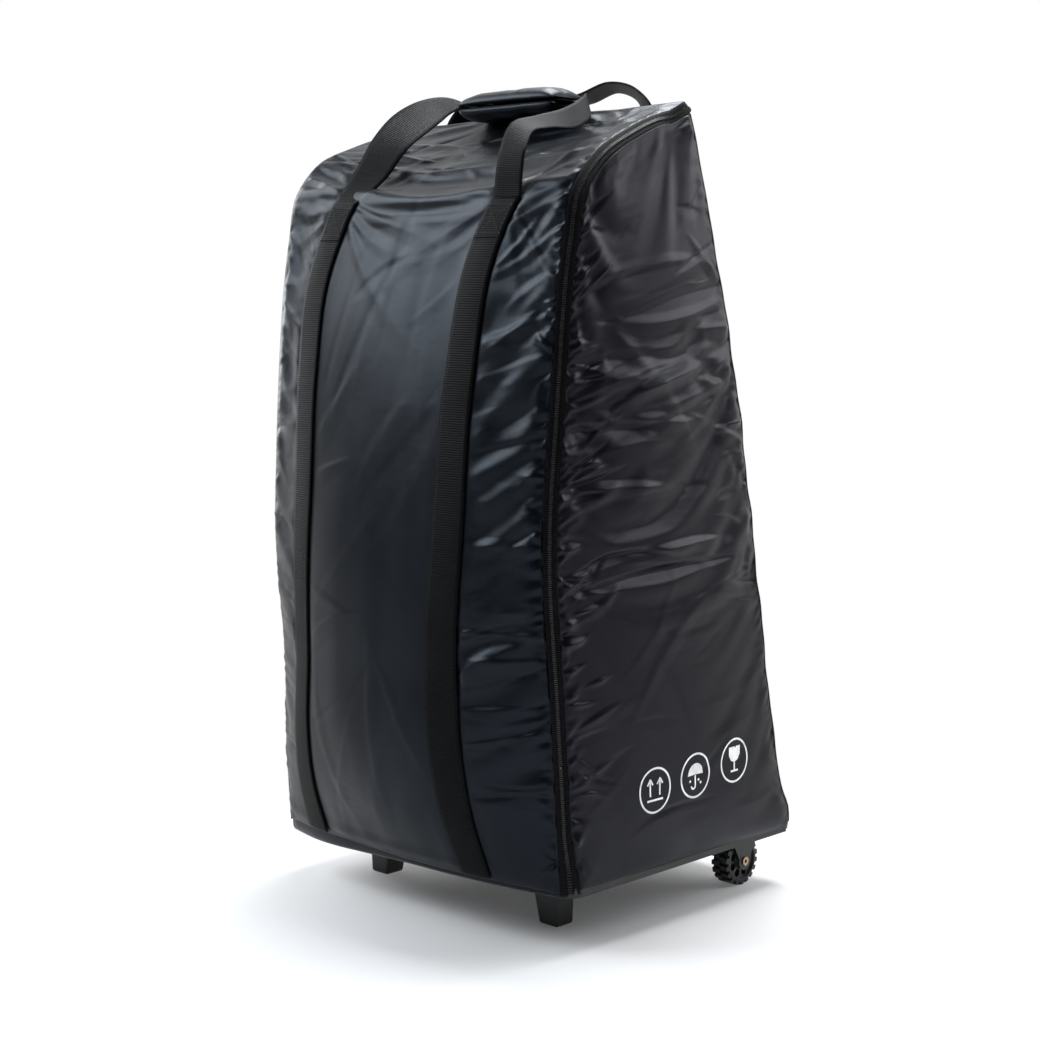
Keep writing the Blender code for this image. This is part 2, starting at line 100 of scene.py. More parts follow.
class Path:
    """A smooth line through a few points, read by its share of the length."""

    def __init__(self, points):
        pts = np.array(points, float)
        steps = np.r_[0, np.cumsum(np.linalg.norm(np.diff(pts, axis=0), axis=1))]
        fine = np.linspace(0, steps[-1], 600)
        self.line = np.stack([along(list(zip(steps, c)), fine) for c in pts.T], axis=1)
        run = np.r_[0, np.cumsum(np.linalg.norm(np.diff(self.line, axis=0), axis=1))]
        self.length = run[-1]
        self.share = run / run[-1]

    def at(self, s):
        return np.stack([np.interp(s, self.share, c) for c in self.line.T], axis=-1)

    def tangent(self, s):
        way = self.at(np.minimum(s + 0.004, 1)) - self.at(np.maximum(s - 0.004, 0))
        return way / np.linalg.norm(way, axis=-1, keepdims=True)

    def share_at(self, column, value):
        return np.interp(value, self.line[:, column], self.share)


def unit(v):
    return v / np.maximum(np.linalg.norm(v, axis=-1, keepdims=True), 1e-9)


def ramp(low, high, t):
    k = np.clip((t - low) / (high - low), 0, 1)
    return k * k * (3 - 2 * k)


edge = Path(FLAP_EDGE)
BACK_TOP = np.array(FLAP_EDGE[-1])
BACK_BASE = np.array([BASE_DEPTH, PANEL_Z])
BACK_LENGTH = np.linalg.norm(BACK_TOP - BACK_BASE)
back_way = (BACK_TOP - BACK_BASE) / BACK_LENGTH
back_out = np.array([back_way[1], -back_way[0]])
back_seam = BACK_TOP - back_way * ZIP_CUT
SHOULDER = edge.share_at(1, SHOULDER_Z)
FLAP_END = 1 - ZIP_CUT / edge.length


BACK_BOW = [(0.0, 0.003), (0.018, 0.006), (0.05, -0.002), (0.14, -0.004), (0.35, 0.007)]
BACK_BOW += [(0.66, 0.020), (0.85, 0.012), (1.0, 0.0)]
CORNER_LIFT = 0.010
CORNER_PUSH = 0.012
CORNER_DROP = 0.012
CORNER_REACH = 0.070
SHOULDER_LIFT = 0.012
FOOT_OUT = 0.009
WAIST_IN = 0.006


def back_line(v):
    """The back edge in (y, z) at share v of its height, with the slight waves of stuffed fabric."""
    waves = 0.0016 * np.sin(math.tau * 7 * v + 1) + 0.0010 * np.sin(math.tau * 16 * v)
    bow = (along(BACK_BOW, v) + waves * np.sin(math.pi * np.clip(v, 0, 1)))[..., None]
    return BACK_BASE + back_way * BACK_LENGTH * np.asarray(v)[..., None] + back_out * bow


def settle(points):
    """Uneven stuffing: flap corners that overhang the shell, a raised left shoulder, a wavy left front."""
    x, y, z = np.moveaxis(points, -1, 0)
    wide = ramp(0.17, FLAP_HALF, np.abs(x)) * ramp(0.0, 0.035, y)
    left = ramp(0.06, 0.24, -x)
    shoulder = left * ramp(0.93, 1.05, z) * (1 - ramp(1.08, 1.15, z))
    front = left * (1 - ramp(-0.24, -0.05, y))
    moved = points.copy()
    moved[..., 1] -= front * FOOT_OUT * (1 - ramp(0.12, 0.34, z))
    moved[..., 1] += front * WAIST_IN * ramp(0.20, 0.40, z) * (1 - ramp(0.60, 0.80, z))
    moved[..., 2] += CORNER_LIFT * wide * ramp(1.04, 1.15, z) + SHOULDER_LIFT * shoulder
    away = np.hypot(y + Y_CENTRE - BACK_TOP[0], z - BACK_TOP[1])
    corner = (1 - ramp(0, CORNER_REACH, away)) * ramp(0.20, FLAP_HALF, np.abs(x))
    shell = ramp(FLAP_HALF, HALF - 0.002, np.abs(x))
    moved[..., 0] += np.sign(x) * CORNER_PUSH * corner * (1 - shell)
    moved[..., 1] += CORNER_PUSH * corner * (1 - shell)
    moved[..., 2] -= CORNER_DROP * corner * shell
    return moved


def outward(s):
    y, z = np.moveaxis(edge.tangent(s), -1, 0)
    return np.stack([-z, y], axis=-1)


def to_row(x, yz):
    """Points in the row frame from x and bag (y, z)."""
    x, y, z = np.broadcast_arrays(x, yz[..., 0] - Y_CENTRE, yz[..., 1])
    return np.stack([x, y, z], axis=-1)


def flap_points(x, s):
    spot = edge.at(s)
    push = outward(s) * np.stack([np.ones_like(s), np.minimum(1, s / 0.15)], axis=-1)
    belly = along(BELLY, spot[..., 1]) * (1 - (x / FLAP_HALF) ** 2)
    return settle(to_row(x, spot + push * belly[..., None]))


def zip_side(s):
    """Edge of the side panel that the zip is sewn to."""
    start = np.array([ZIP_CUT, PANEL_Z]) - edge.at(0.0) + outward(np.array(0.0)) * ZIP_CUT
    return edge.at(s) - outward(s) * ZIP_CUT + start * np.maximum(0, 1 - s / 0.06)[..., None]


def side_points(sign, u, v):
    """A patch between the zip, the rim and the back edge; u runs to the back and v up."""
    corners = [np.array([ZIP_CUT, PANEL_Z]), BACK_BASE, zip_side(np.array(SHOULDER)), back_seam]
    front = zip_side(v * SHOULDER)
    rear = back_line(v * (1 - ZIP_CUT / BACK_LENGTH))
    low = corners[0] + (corners[1] - corners[0]) * u[..., None]
    top = zip_side(SHOULDER + u * (FLAP_END - SHOULDER))
    top = top + (back_seam - zip_side(np.array(FLAP_END))) * u[..., None]
    u1 = u[..., None]
    v1 = v[..., None]
    flat = (1 - u1) * front + u1 * rear + (1 - v1) * low + v1 * top
    flat = flat - (1 - u1) * (1 - v1) * corners[0] - u1 * (1 - v1) * corners[1]
    flat = flat - (1 - u1) * v1 * corners[2] - u1 * v1 * corners[3]
    puff = SIDE_PUFF * np.sin(np.pi * u) * np.sin(np.pi * np.clip(v, 0, 1)) ** 0.7
    return settle(to_row(sign * (HALF + puff), flat))


def back_points(x, v):
    bow = BACK_PUFF * (1 - (x / HALF) ** 2) * 4 * v * (1 - v)
    return settle(to_row(x, back_line(v) + back_out * bow[..., None]))


# Meshes from grids of points
MEET = 1e-6
TUBE_SIDES = 10
BLOCK_TOP = 0.6


def in_scene(made):
    bpy.context.scene.collection.objects.link(made)
    return made


def grid_faces(rows, cols):
    r, c = np.meshgrid(np.arange(rows - 1), np.arange(cols - 1), indexing="ij")
    a = (r * cols + c).ravel()
    return np.stack([a, a + 1, a + cols + 1, a + cols], axis=1)


def shares(rows, cols):
    """Shares v up and u across, on a grid."""
    return np.meshgrid(np.linspace(0, 1, rows), np.linspace(0, 1, cols), indexing="ij")


def normals_of(points):
    across = np.gradient(points, axis=1)
    up = np.gradient(points, axis=0)
    return unit(np.cross(across, up))


def normals_out(points, out):
    facing = normals_of(points)
    return facing if (facing @ np.array(out, float)).sum() > 0 else -facing


def sheet(name, points, out, uv_size=None, columns=None):
    """A grid of points as a smooth mesh whose faces look along out, with UVs in metres."""
    rows, cols, _ = points.shape
    faces = grid_faces(rows, cols)
    if (normals_of(points) @ np.array(out, float)).sum() < 0:
        faces = faces[:, ::-1]
    mesh = bpy.data.meshes.new(name)
    mesh.from_pydata(points.reshape(-1, 3).tolist(), [], faces.tolist())
    wide = np.linalg.norm(np.diff(points, axis=1), axis=2).sum(axis=1).mean()
    tall = np.linalg.norm(np.diff(points, axis=0), axis=2).sum(axis=0).mean()
    wide, tall = uv_size or (wide, tall)
    spread = np.linspace(0, 1, cols) if columns is None else columns
    v, u = np.meshgrid(np.linspace(0, tall, rows), wide * spread, indexing="ij")
    corner = np.stack([u.ravel(), v.ravel()], axis=1)[faces.ravel()]
    mesh.uv_layers.new(name="UVMap").data.foreach_set("uv", corner.astype(np.float32).ravel())
    mesh.shade_smooth()
    return in_scene(bpy.data.objects.new(name, mesh))


def thicken(made, thick, offset=-1.0):
    shell = made.modifiers.new("thickness", "SOLIDIFY")
    shell.thickness = thick
    shell.offset = offset


def dress(made, look, body, slot, *nodes):
    """Material, body and the solids a piece stands for; slot is not used; a HINGE piece is baked in place and
    joins no body.
    """
    made.data.materials.clear()
    made.data.materials.append(look)
    if body == HINGE:
        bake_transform(made)
    else:
        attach(made, body)
    if nodes:
        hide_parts(*nodes)
    return made


def ribbon(name, points, out, thick, look, body, *nodes, offset=-1.0, uv_size=None):
    """A strip of webbing or tape."""
    made = sheet(name, points, out, uv_size)
    thicken(made, thick, offset)
    dress(made, look, body, "webbing", *nodes)


def cloth_panel(name, points, out, columns, look, body, node):
    """A padded panel of the bag."""
    panel = sheet(name, points, out, columns=columns)
    thicken(panel, CLOTH_THICK)
    dress(panel, look, body, "nylon", node)


def sample(points, u, v, columns=None):
    """Points of a grid at shares u across and v up, both from 0 to 1."""
    rows, cols, _ = points.shape
    if columns is not None:
        u = np.interp(u, columns, np.linspace(0, 1, cols))
    c = np.clip(u * (cols - 1), 0, cols - 1.0001)
    r = np.clip(v * (rows - 1), 0, rows - 1.0001)
    c0 = c.astype(int)
    r0 = r.astype(int)
    fc = (c - c0)[..., None]
    fr = (r - r0)[..., None]
    low = points[r0, c0] * (1 - fc) + points[r0, c0 + 1] * fc
    high = points[r0 + 1, c0] * (1 - fc) + points[r0 + 1, c0 + 1] * fc
    return low * (1 - fr) + high * fr


def blur(points, times):
    """Evens out a grid, leaving its border."""
    even = points.copy()
    for _ in range(times):
        mid = even[1:-1, :-2] + even[1:-1, 2:] + even[:-2, 1:-1] + even[2:, 1:-1]
        even[1:-1, 1:-1] = 0.5 * even[1:-1, 1:-1] + 0.125 * mid
    return even


def seam_shares(wide, fine, coarse, band=0.036):
    """Shares across a sheet, close together near both of its long seams."""
    near = np.linspace(0, band, int(band / fine) + 1)
    middle = np.linspace(band, wide - band, int((wide - 2 * band) / coarse) + 1)[1:-1]
    return np.concatenate([near, middle, wide - near[::-1]]) / wide


def finer(points, rows, across):
    """The same sheet with more rows, and with columns at the shares given."""
    v, u = np.meshgrid(np.linspace(0, 1, rows), across, indexing="ij")
    return blur(sample(points, u, v), 3), u, v


def puckers(run, away, length, seed, height=0.0042):
    """Short wedges that start at a seam: run is the way along it, away the distance from it."""
    random = np.random.default_rng(seed)
    total = np.zeros_like(run)
    spot = 0.01
    while spot < length - 0.01:
        wide = random.uniform(0.0035, 0.0065)
        reach = random.uniform(0.008, 0.030)
        slant = random.normal(0, 0.45)
        rise = random.uniform(0.3, 1.0) * height * random.choice((1, 1, -1))
        aside = (run - spot - slant * away) / (wide * (1 + 1.5 * away / reach))
        total += rise * np.clip(1 - np.abs(aside), 0, 1) * np.exp(-(away / reach) ** 2)
        spot += random.uniform(0.006, 0.016)
    return total * ramp(0, 0.004, away)


def creases(a, b, seed, area, count, tilt, size):
    """Flat-sided folds: a and b are ways across and up, tilt is (mean, spread) in degrees."""
    random = np.random.default_rng(seed)
    (a0, a1), (b0, b1) = area
    length, wide, height = size
    total = np.zeros_like(a)
    for _ in range(count):
        turn = math.radians(random.normal(*tilt))
        da = a - random.uniform(a0, a1)
        db = b - random.uniform(b0, b1)
        reach = length * random.uniform(0.5, 1.4)
        ahead = (da * math.cos(turn) + db * math.sin(turn)) / reach
        bend = random.normal(0, 0.10) * reach * ahead ** 2
        aside = db * math.cos(turn) - da * math.sin(turn) + bend
        taper = np.clip(1 - ahead ** 2, 0, 1) ** 1.3
        half = wide * random.uniform(0.5, 1.5) * (0.3 + 0.7 * taper)
        steep = np.where(aside > 0, half * random.uniform(0.25, 0.7), half)
        rise = height * random.uniform(0.35, 1.0) * random.choice((1, 1, -1))
        total += rise * taper * np.clip(1 - np.abs(aside) / steep, 0, 1)
    return total


def link(name, bm):
    """A bmesh as a linked object."""
    mesh = bpy.data.meshes.new(name)
    bm.to_mesh(mesh)
    bm.free()
    return in_scene(bpy.data.objects.new(name, mesh))


def weld(made, fill=False):
    """Joins points that meet, closes open ends where asked, and turns all faces outwards."""
    bm = bmesh.new()
    bm.from_mesh(made.data)
    bmesh.ops.remove_doubles(bm, verts=bm.verts, dist=MEET)
    if fill:
        bmesh.ops.holes_fill(bm, edges=[e for e in bm.edges if e.is_boundary])
    bmesh.ops.recalc_face_normals(bm, faces=bm.faces)
    bm.to_mesh(made.data)
    bm.free()
    return made


def tube_object(name, path, radius):
    """A round cord along a row of points."""
    ahead = unit(np.gradient(path, axis=0))
    across = unit(np.cross(ahead, np.array([0.3, 0.2, 1.0])))
    up = np.cross(across, ahead)
    turn = np.linspace(0, math.tau, TUBE_SIDES + 1)
    ring = across[:, None, :] * np.cos(turn)[None, :, None] + up[:, None, :] * np.sin(turn)[None, :, None]
    return weld(sheet(name, path[:, None, :] + radius * ring, ring[0, 0]))


def small_blocks(name, spots, ways, ups, size):
    """One small tapered block at each spot: size is (along, across, height)."""
    bm = bmesh.new()
    across = np.cross(ups, ways)
    for spot, way, side_way, up in zip(spots, ways, across, ups):
        for vert in bmesh.ops.create_cube(bm, size=1)["verts"]:
            x, y, z = vert.co
            slim = BLOCK_TOP if z > 0 else 1.0
            vert.co = spot + way * x * size[0] * slim + side_way * y * size[1] * slim + up * z * size[2]
    bmesh.ops.recalc_face_normals(bm, faces=bm.faces)
    return link(name, bm)


def spokes(x, run, centre, angles, seed, reach, height=0.0036):
    """Flat-sided folds that fan out from a sewn anchor at centre, towards the angles given in degrees."""
    random = np.random.default_rng(seed)
    dx = x - centre[0]
    dr = run - centre[1]
    away = np.hypot(dx, dr)
    total = np.zeros_like(x)
    for angle in angles:
        turn = math.radians(angle + random.normal(0, 5))
        ahead = dx * math.cos(turn) + dr * math.sin(turn)
        aside = dr * math.cos(turn) - dx * math.sin(turn) + 0.3 * random.normal() * ahead ** 2 / reach
        wide = random.uniform(0.006, 0.009) + random.uniform(0.06, 0.12) * np.maximum(ahead, 0)
        steep = np.where(aside > 0, wide * random.uniform(0.4, 1.0), wide)
        fade = np.exp(-(away / (reach * random.uniform(0.6, 1.3))) ** 2) * ramp(0.010, 0.035, ahead)
        total += random.uniform(0.4, 1.0) * height * fade * np.clip(1 - np.abs(aside) / steep, 0, 1)
    return total


# Cloth: spare fabric between sewn edges folds up
CLOTH = {"quality": 4, "mass": 0.12, "tension_stiffness": 18, "compression_stiffness": 18}
CLOTH |= {"shear_stiffness": 6, "bending_stiffness": 0.35, "air_damping": 2}
CLOTH |= {"vertex_group_mass": "hold", "pin_stiffness": 1.0}
CLOTH_FRAMES = 18
CLOTH_GRAVITY = 0.3
CLOTH_THICK = 0.004


def drape(name, points, out, hold, spare, push):
    """Lets a grid settle as cloth; hold pins it to its place, spare is (across, up) extra fabric."""
    made = sheet(name + "_cloth", points, out)
    group = made.vertex_groups.new(name="hold")
    for index, weight in enumerate(hold.ravel()):
        group.add([index], float(weight), "REPLACE")
    made.shape_key_add(name="Basis")
    rest = made.shape_key_add(name="rest")
    wide = 1 + spare[0]
    tall = 1 + spare[1]
    loose = points * np.array([wide, tall, tall] if abs(out[0]) < 0.5 else [1, wide, tall])
    rest.data.foreach_set("co", loose.astype(np.float32).ravel())
    cloth = made.modifiers.new("cloth", "CLOTH")
    setting = cloth.settings
    for key, value in CLOTH.items():
        setattr(setting, key, value)
    setting.rest_shape_key = rest
    setting.use_pressure = True
    setting.uniform_pressure_force = push
    setting.effector_weights.gravity = CLOTH_GRAVITY
    cloth.collision_settings.use_collision = False
    cloth.point_cache.frame_start = 1
    cloth.point_cache.frame_end = CLOTH_FRAMES
    scene = bpy.context.scene
    for step in range(1, CLOTH_FRAMES + 1):
        scene.frame_set(step)
    settled = made.evaluated_get(bpy.context.evaluated_depsgraph_get()).to_mesh()
    result = np.empty(len(settled.vertices) * 3, np.float32)
    settled.vertices.foreach_get("co", result)
    scene.frame_set(1)
    mesh = made.data
    bpy.data.objects.remove(made)
    bpy.data.meshes.remove(mesh)
    return result.reshape(points.shape).astype(float)


def ripple(shape, seed, sizes):
    """Soft noise on a grid: a sum of smooth random fields, each (rows, cols, height)."""
    random = np.random.default_rng(seed)
    v, u = shares(*shape)
    total = np.zeros(shape)
    for r, c, height in sizes:
        coarse = random.normal(size=(r + 3, c + 3))[..., None]
        total += height * sample(blur(coarse, 1), u, v)[..., 0]
    return total


# Materials
def new_material(name, colour, rough, **values):
    made = bpy.data.materials.new(name)
    made.use_nodes = True
    shader = made.node_tree.nodes["Principled BSDF"]
    shader.inputs["Base Color"].default_value = (*colour, 1)
    shader.inputs["Roughness"].default_value = rough
    for key, value in values.items():
        shader.inputs[key.replace("_", " ")].default_value = value
    return made, made.node_tree.nodes, made.node_tree.links, shader


def add(nodes, kind, **values):
    """A new node; a value goes to the input of that name, or else to the node itself."""
    node = nodes.new(kind)
    for key, value in values.items():
        socket = key.replace("_", " ")
        if socket in node.inputs:
            node.inputs[socket].default_value = value
        else:
            setattr(node, key, value)
    return node


def chain_bump(nodes, links, shader, heights):
    """Bumps one after another; heights are (socket, strength, distance)."""
    last = None
    for socket, strength, distance in heights:
        bump = add(nodes, "ShaderNodeBump", Strength=strength, Distance=distance)
        links.new(socket, bump.inputs["Height"])
        if last:
            links.new(last, bump.inputs["Normal"])
        last = bump.outputs["Normal"]
    links.new(last, shader.inputs["Normal"])


TINT_STOPS = (0.30, 0.72)


def tint(nodes, links, shader, socket, dark, light):
    shades = add(nodes, "ShaderNodeValToRGB")
    for stop, where, colour in zip(shades.color_ramp.elements, TINT_STOPS, (dark, light)):
        stop.position = where
        stop.color = (*colour, 1)
    links.new(socket, shades.inputs["Fac"])
    links.new(shades.outputs["Color"], shader.inputs["Base Color"])


def uv_waves(nodes, links, scale, direction):
    uv = add(nodes, "ShaderNodeUVMap", uv_map="UVMap")
    wave = add(nodes, "ShaderNodeTexWave", bands_direction=direction, Scale=scale, Distortion=0.0)
    links.new(uv.outputs["UV"], wave.inputs["Vector"])
    return wave.outputs["Fac"]


def noise_field(nodes, links, scale, detail=3.0, **values):
    where = add(nodes, "ShaderNodeTexCoord")
    shape = add(nodes, "ShaderNodeMapping", Scale=values.pop("stretch", (1, 1, 1)))
    values = {"Scale": scale, "Detail": detail, "Roughness": 0.55, **values}
    field = add(nodes, "ShaderNodeTexNoise", **values)
    links.new(where.outputs["Object"], shape.inputs["Vector"])
    links.new(shape.outputs["Vector"], field.inputs["Vector"])
    return field.outputs["Fac"]


RIDGED = {"Roughness": 0.4, "noise_type": "RIDGED_MULTIFRACTAL"}


def nylon(name, dark, light, rough, glint):
    """Coated plain-weave nylon with fine threads and crisp creases."""
    made, nodes, links, shader = new_material(name, light, rough, Specular_IOR_Level=0.19)
    shader.inputs["Specular Tint"].default_value = (*glint, 1)
    warp = uv_waves(nodes, links, 260, "X")
    weft = uv_waves(nodes, links, 260, "Y")
    crumple = noise_field(nodes, links, 24, 1.5, stretch=(1, 1, 1.6), **RIDGED)
    cloud = noise_field(nodes, links, 7, 2.0)
    tint(nodes, links, shader, cloud, dark, light)
    grain = noise_field(nodes, links, 380, 2.0)
    bumps = [(crumple, 0.10, 0.0010), (grain, 0.20, 0.0005), (warp, 0.18, 0.0002), (weft, 0.18, 0.0002)]
    chain_bump(nodes, links, shader, bumps)
    gloss = add(nodes, "ShaderNodeMapRange", To_Min=rough - 0.06, To_Max=rough + 0.10)
    links.new(noise_field(nodes, links, 30, 3.0), gloss.inputs["Value"])
    links.new(gloss.outputs["Result"], shader.inputs["Roughness"])
    return made


def webbing(name, colour, rough=0.5):
    """Ribbed strap webbing with fine threads along it."""
    made, nodes, links, shader = new_material(name, colour, rough, Specular_IOR_Level=0.065)
    rib = uv_waves(nodes, links, 95, "Y")
    thread = uv_waves(nodes, links, 170, "X")
    cloud = noise_field(nodes, links, 22, 2.0)
    tint(nodes, links, shader, cloud, tuple(0.7 * c for c in colour), tuple(1.25 * c for c in colour))
    chain_bump(nodes, links, shader, [(rib, 0.55, 0.0006), (thread, 0.35, 0.0004)])
    return made


def moulded(name, colour, rough, grain=420.0):
    """Moulded plastic with a fine grain and faint scuffs."""
    made, nodes, links, shader = new_material(name, colour, rough)
    fine = noise_field(nodes, links, grain, 2.0)
    scuff = noise_field(nodes, links, 40, 3.0)
    tint(nodes, links, shader, scuff, tuple(0.75 * c for c in colour), tuple(1.3 * c for c in colour))
    chain_bump(nodes, links, shader, [(fine, 0.25, 0.0003)])
    return made


def metal(name, colour, rough):
    made, nodes, links, shader = new_material(name, colour, rough, Metallic=1.0)
    wear = noise_field(nodes, links, 260, 3.0)
    tint(nodes, links, shader, wear, tuple(0.75 * c for c in colour), colour)
    chain_bump(nodes, links, shader, [(wear, 0.1, 0.0002)])
    return made


# Painted sheen: the front and side copies of one black nylon differ in base colour and glint tint. The front
# is bluer and the side greyer and paler, standing in for the sheen each face catches.
FRONT_GLINT = (0.66, 0.80, 1.0)
SIDE_GLINT = (0.78, 0.79, 1.0)
FRONT_SHEEN_NYLON = nylon("front_nylon_painted_sheen", (0.0018, 0.0023, 0.0036), (0.0028, 0.0035, 0.0052), 0.31, FRONT_GLINT)
SIDE_SHEEN_NYLON = nylon("side_nylon_painted_sheen", (0.0026, 0.0026, 0.0037), (0.0038, 0.0038, 0.0053), 0.31, SIDE_GLINT)
STRAP = webbing("strap_webbing", (0.0028, 0.0030, 0.0036))
TAPE = webbing("zip_tape", (0.0045, 0.0045, 0.0052), 0.6)
COIL = moulded("zip_coil", (0.020, 0.020, 0.022), 0.42)
PLASTIC = moulded("black_plastic", (0.007, 0.007, 0.008), 0.5)
RUBBER = moulded("wheel_plastic", (0.010, 0.011, 0.012), 0.5)
BRASS = metal("rivet_brass", (0.42, 0.29, 0.18), 0.40)
SLIDER = metal("slider_black", (0.05, 0.05, 0.052), 0.35)
BOARD = moulded("base_board", (0.012, 0.012, 0.013), 0.6)
THREAD = moulded("black_thread", (0.010, 0.010, 0.011), 0.55)
PRINT = moulded("white_print", (0.90, 0.90, 0.90), 0.55)

# Front flap
FLAP_COLS = 80
FLAP_ROWS = 168
FLAP_FINE_ROWS = 560
FLAP_COLUMNS = seam_shares(2 * FLAP_HALF, 0.0032, 0.0048)
FOLD_HEIGHT = 0.0035
STRIP_FOLD = 0.0024
LEFT_CALM = 0.45
PILLOW = 0.004
FRONT_DROP = 0.005
SIDE_DROP = 0.009
SPOKES = (18, 40, 62, 84, 106, 128, 150, 170, 200, 222, 246, 294, 316, 338)
SPOKE_REACH = 0.15

# Folds: seed, area across and up, count, tilt, and size as length, width and height
SLANT_FOLDS = (71, ((0.17, 0.29), (0.20, 0.95)), 26, (36, 14), (0.090, 0.024, 0.0038))
LOW_FOLDS = (72, ((0.17, 0.29), (0.10, 0.50)), 18, (4, 8), (0.062, 0.015, 0.0034))
MIDDLE_FOLDS = (73, ((-0.16, 0.14), (0.10, 0.95)), 34, (65, 30), (0.130, 0.026, 0.0011))
TOP_FOLDS = (74, ((-0.27, 0.27), (1.00, 1.22)), 46, (12, 34), (0.080, 0.016, 0.0034))
BACK_FOLDS = (81, ((-0.28, 0.28), (0.06, 1.02)), 46, (0, 17), (0.110, 0.020, 0.0028))
flap_top = edge.share_at(1, STRAP_TOP_Z)


def strap_line(sign, s):
    return along(RIGHT_LINE if sign > 0 else LEFT_LINE, edge.at(s)[..., 1])


def near_straps(x, s, reach):
    """1 under the sewn webbing, falling to 0 at reach from its edge."""
    worst = np.zeros_like(x)
    for _, sign in SIDES:
        away = np.abs(x - strap_line(sign, s)) - STRAP_WIDTH / 2
        worst = np.maximum(worst, 1 - ramp(0, reach, away))
    return worst * (1 - ramp(flap_top, flap_top + 0.03, s))


def make_flap():
    v, u = shares(FLAP_ROWS, FLAP_COLS)
    x = FLAP_HALF * (2 * u - 1)
    s = v * FLAP_END
    start = flap_points(x, s)
    height = start[..., 2]
    rim = np.minimum(FLAP_HALF - np.abs(x), np.minimum(s, FLAP_END - s) * edge.length)
    free = ramp(0.0, 0.02, rim)
    sewn = near_straps(x, s, 0.010)
    beyond = np.maximum(x - strap_line(1, s), strap_line(-1, s) - x) - STRAP_WIDTH / 2
    strip = ramp(0.0, 0.02, beyond)
    tall = ramp(0.16, 0.30, height) * (1 - ramp(0.86, 0.96, height))
    wander = ripple(x.shape, 5, [(16, 3, 0.9)])
    diagonal = np.sin(math.tau * (height - 0.75 * np.abs(x)) / 0.074 + 2.2 * wander)
    calm = np.where(x < 0, LEFT_CALM, 1.0)
    lift = calm * strip * (STRIP_FOLD * tall * diagonal + ripple(x.shape, 7, [(50, 8, 0.002)]))
    top = ramp(0.96, 1.06, height)
    lift = lift + top * ripple(x.shape, 9, [(26, 14, 0.0026)])
    lift = lift + (1 - strip) * (1 - top) * ripple(x.shape, 3, [(9, 5, 0.0022), (12, 16, 0.0012)])
    lift = free * (1 - sewn) * lift + PILLOW * ramp(0, 0.016, rim)
    start = start + normals_out(start, FRONT_OUT) * lift[..., None]
    hold = 0.006 + 0.8 * sewn + 0.35 * (1 - strip) * (1 - top) + 0.004 * top
    hold = np.where(rim < 0.004, 1.0, hold)
    settled = drape("flap", start, FRONT_OUT, hold, (0.012, 0.035), 0.3)
    settled = settled + (blur(settled, 10) - settled) * sewn[..., None]
    settled, u, v = finer(settled, FLAP_FINE_ROWS, FLAP_COLUMNS)
    x = FLAP_HALF * (2 * u - 1)
    s = v * FLAP_END
    run = s * edge.length
    right = strap_line(1, s) + STRAP_WIDTH / 2
    left = strap_line(-1, s) - STRAP_WIDTH / 2
    outer = ramp(0, 0.010, x - right) + ramp(0, 0.010, left - x)
    inner = ramp(0, 0.03, right - STRAP_WIDTH - x) * ramp(0, 0.03, x - left - STRAP_WIDTH)
    strips = creases(np.abs(x), run, *SLANT_FOLDS) + creases(np.abs(x), run, *LOW_FOLDS)
    quiet = np.where(x < 0, LEFT_CALM, 1.0)
    seam = quiet * outer * strips * (1 - ramp(0.95, 1.02, run)) + inner * creases(x, run, *MIDDLE_FOLDS)
    seam = seam + creases(x, run, *TOP_FOLDS) * ramp(0.97, 1.04, run)
    anchor = flap_top * edge.length
    tops = [float(strap_line(sign, np.array(anchor / edge.length))) for _, sign in SIDES]
    for seed, spot in zip((61, 62), tops):
        seam = seam + spokes(x, run, (spot, anchor), SPOKES, seed, SPOKE_REACH)
    ends = np.minimum(run, FLAP_END * edge.length - run)
    seam = seam * ramp(0, 0.012, np.minimum(FLAP_HALF - np.abs(x), ends))
    for seed, away in ((21, FLAP_HALF - x), (22, FLAP_HALF + x)):
        seam = seam + quiet * puckers(run, away, edge.length, seed) * (1 - 0.7 * ramp(0.96, 1.04, run))
    seam = seam * (1 - 0.75 * near_straps(x, s, 0.008))
    settled = settled + normals_out(settled, FRONT_OUT) * seam[..., None]
    settled[..., 2] -= FRONT_DROP * (1 - ramp(0, 0.03, run))
    return settled


flap = make_flap()
flap_out = normals_out(flap, FRONT_OUT)
flap_even = blur(flap, 6)
cloth_panel("front_panel_cloth", flap, FRONT_OUT, FLAP_COLUMNS, FRONT_SHEEN_NYLON, HINGE, "front_panel")


# Webbing on the front follows the cloth under it
STITCH = (0.0032, 0.0008, 0.0007)
STITCH_PITCH = 0.0048
WEB_THICK = 0.0018
PATCH_THICK = 0.0020
PATCH_LIFT = 0.0036
BOX_HALF = 0.40
BOX_LIFT = 0.0046
SEW_LIFT = 0.0023
SEW_MARGIN = 0.006
ANCHOR = (0.976, 1.027)


def strap_sheet(surface, facing, u_of, v_range, rows, columns=None, lift=0.0012):
    v, k = np.meshgrid(np.linspace(*v_range, rows), np.linspace(-0.5, 0.5, 9), indexing="ij")
    u = u_of(v, k)
    crown = 0.0007 * (1 - (2 * k) ** 2)
    return sample(surface, u, v, columns) + sample(facing, u, v, columns) * (lift + crown)[..., None]


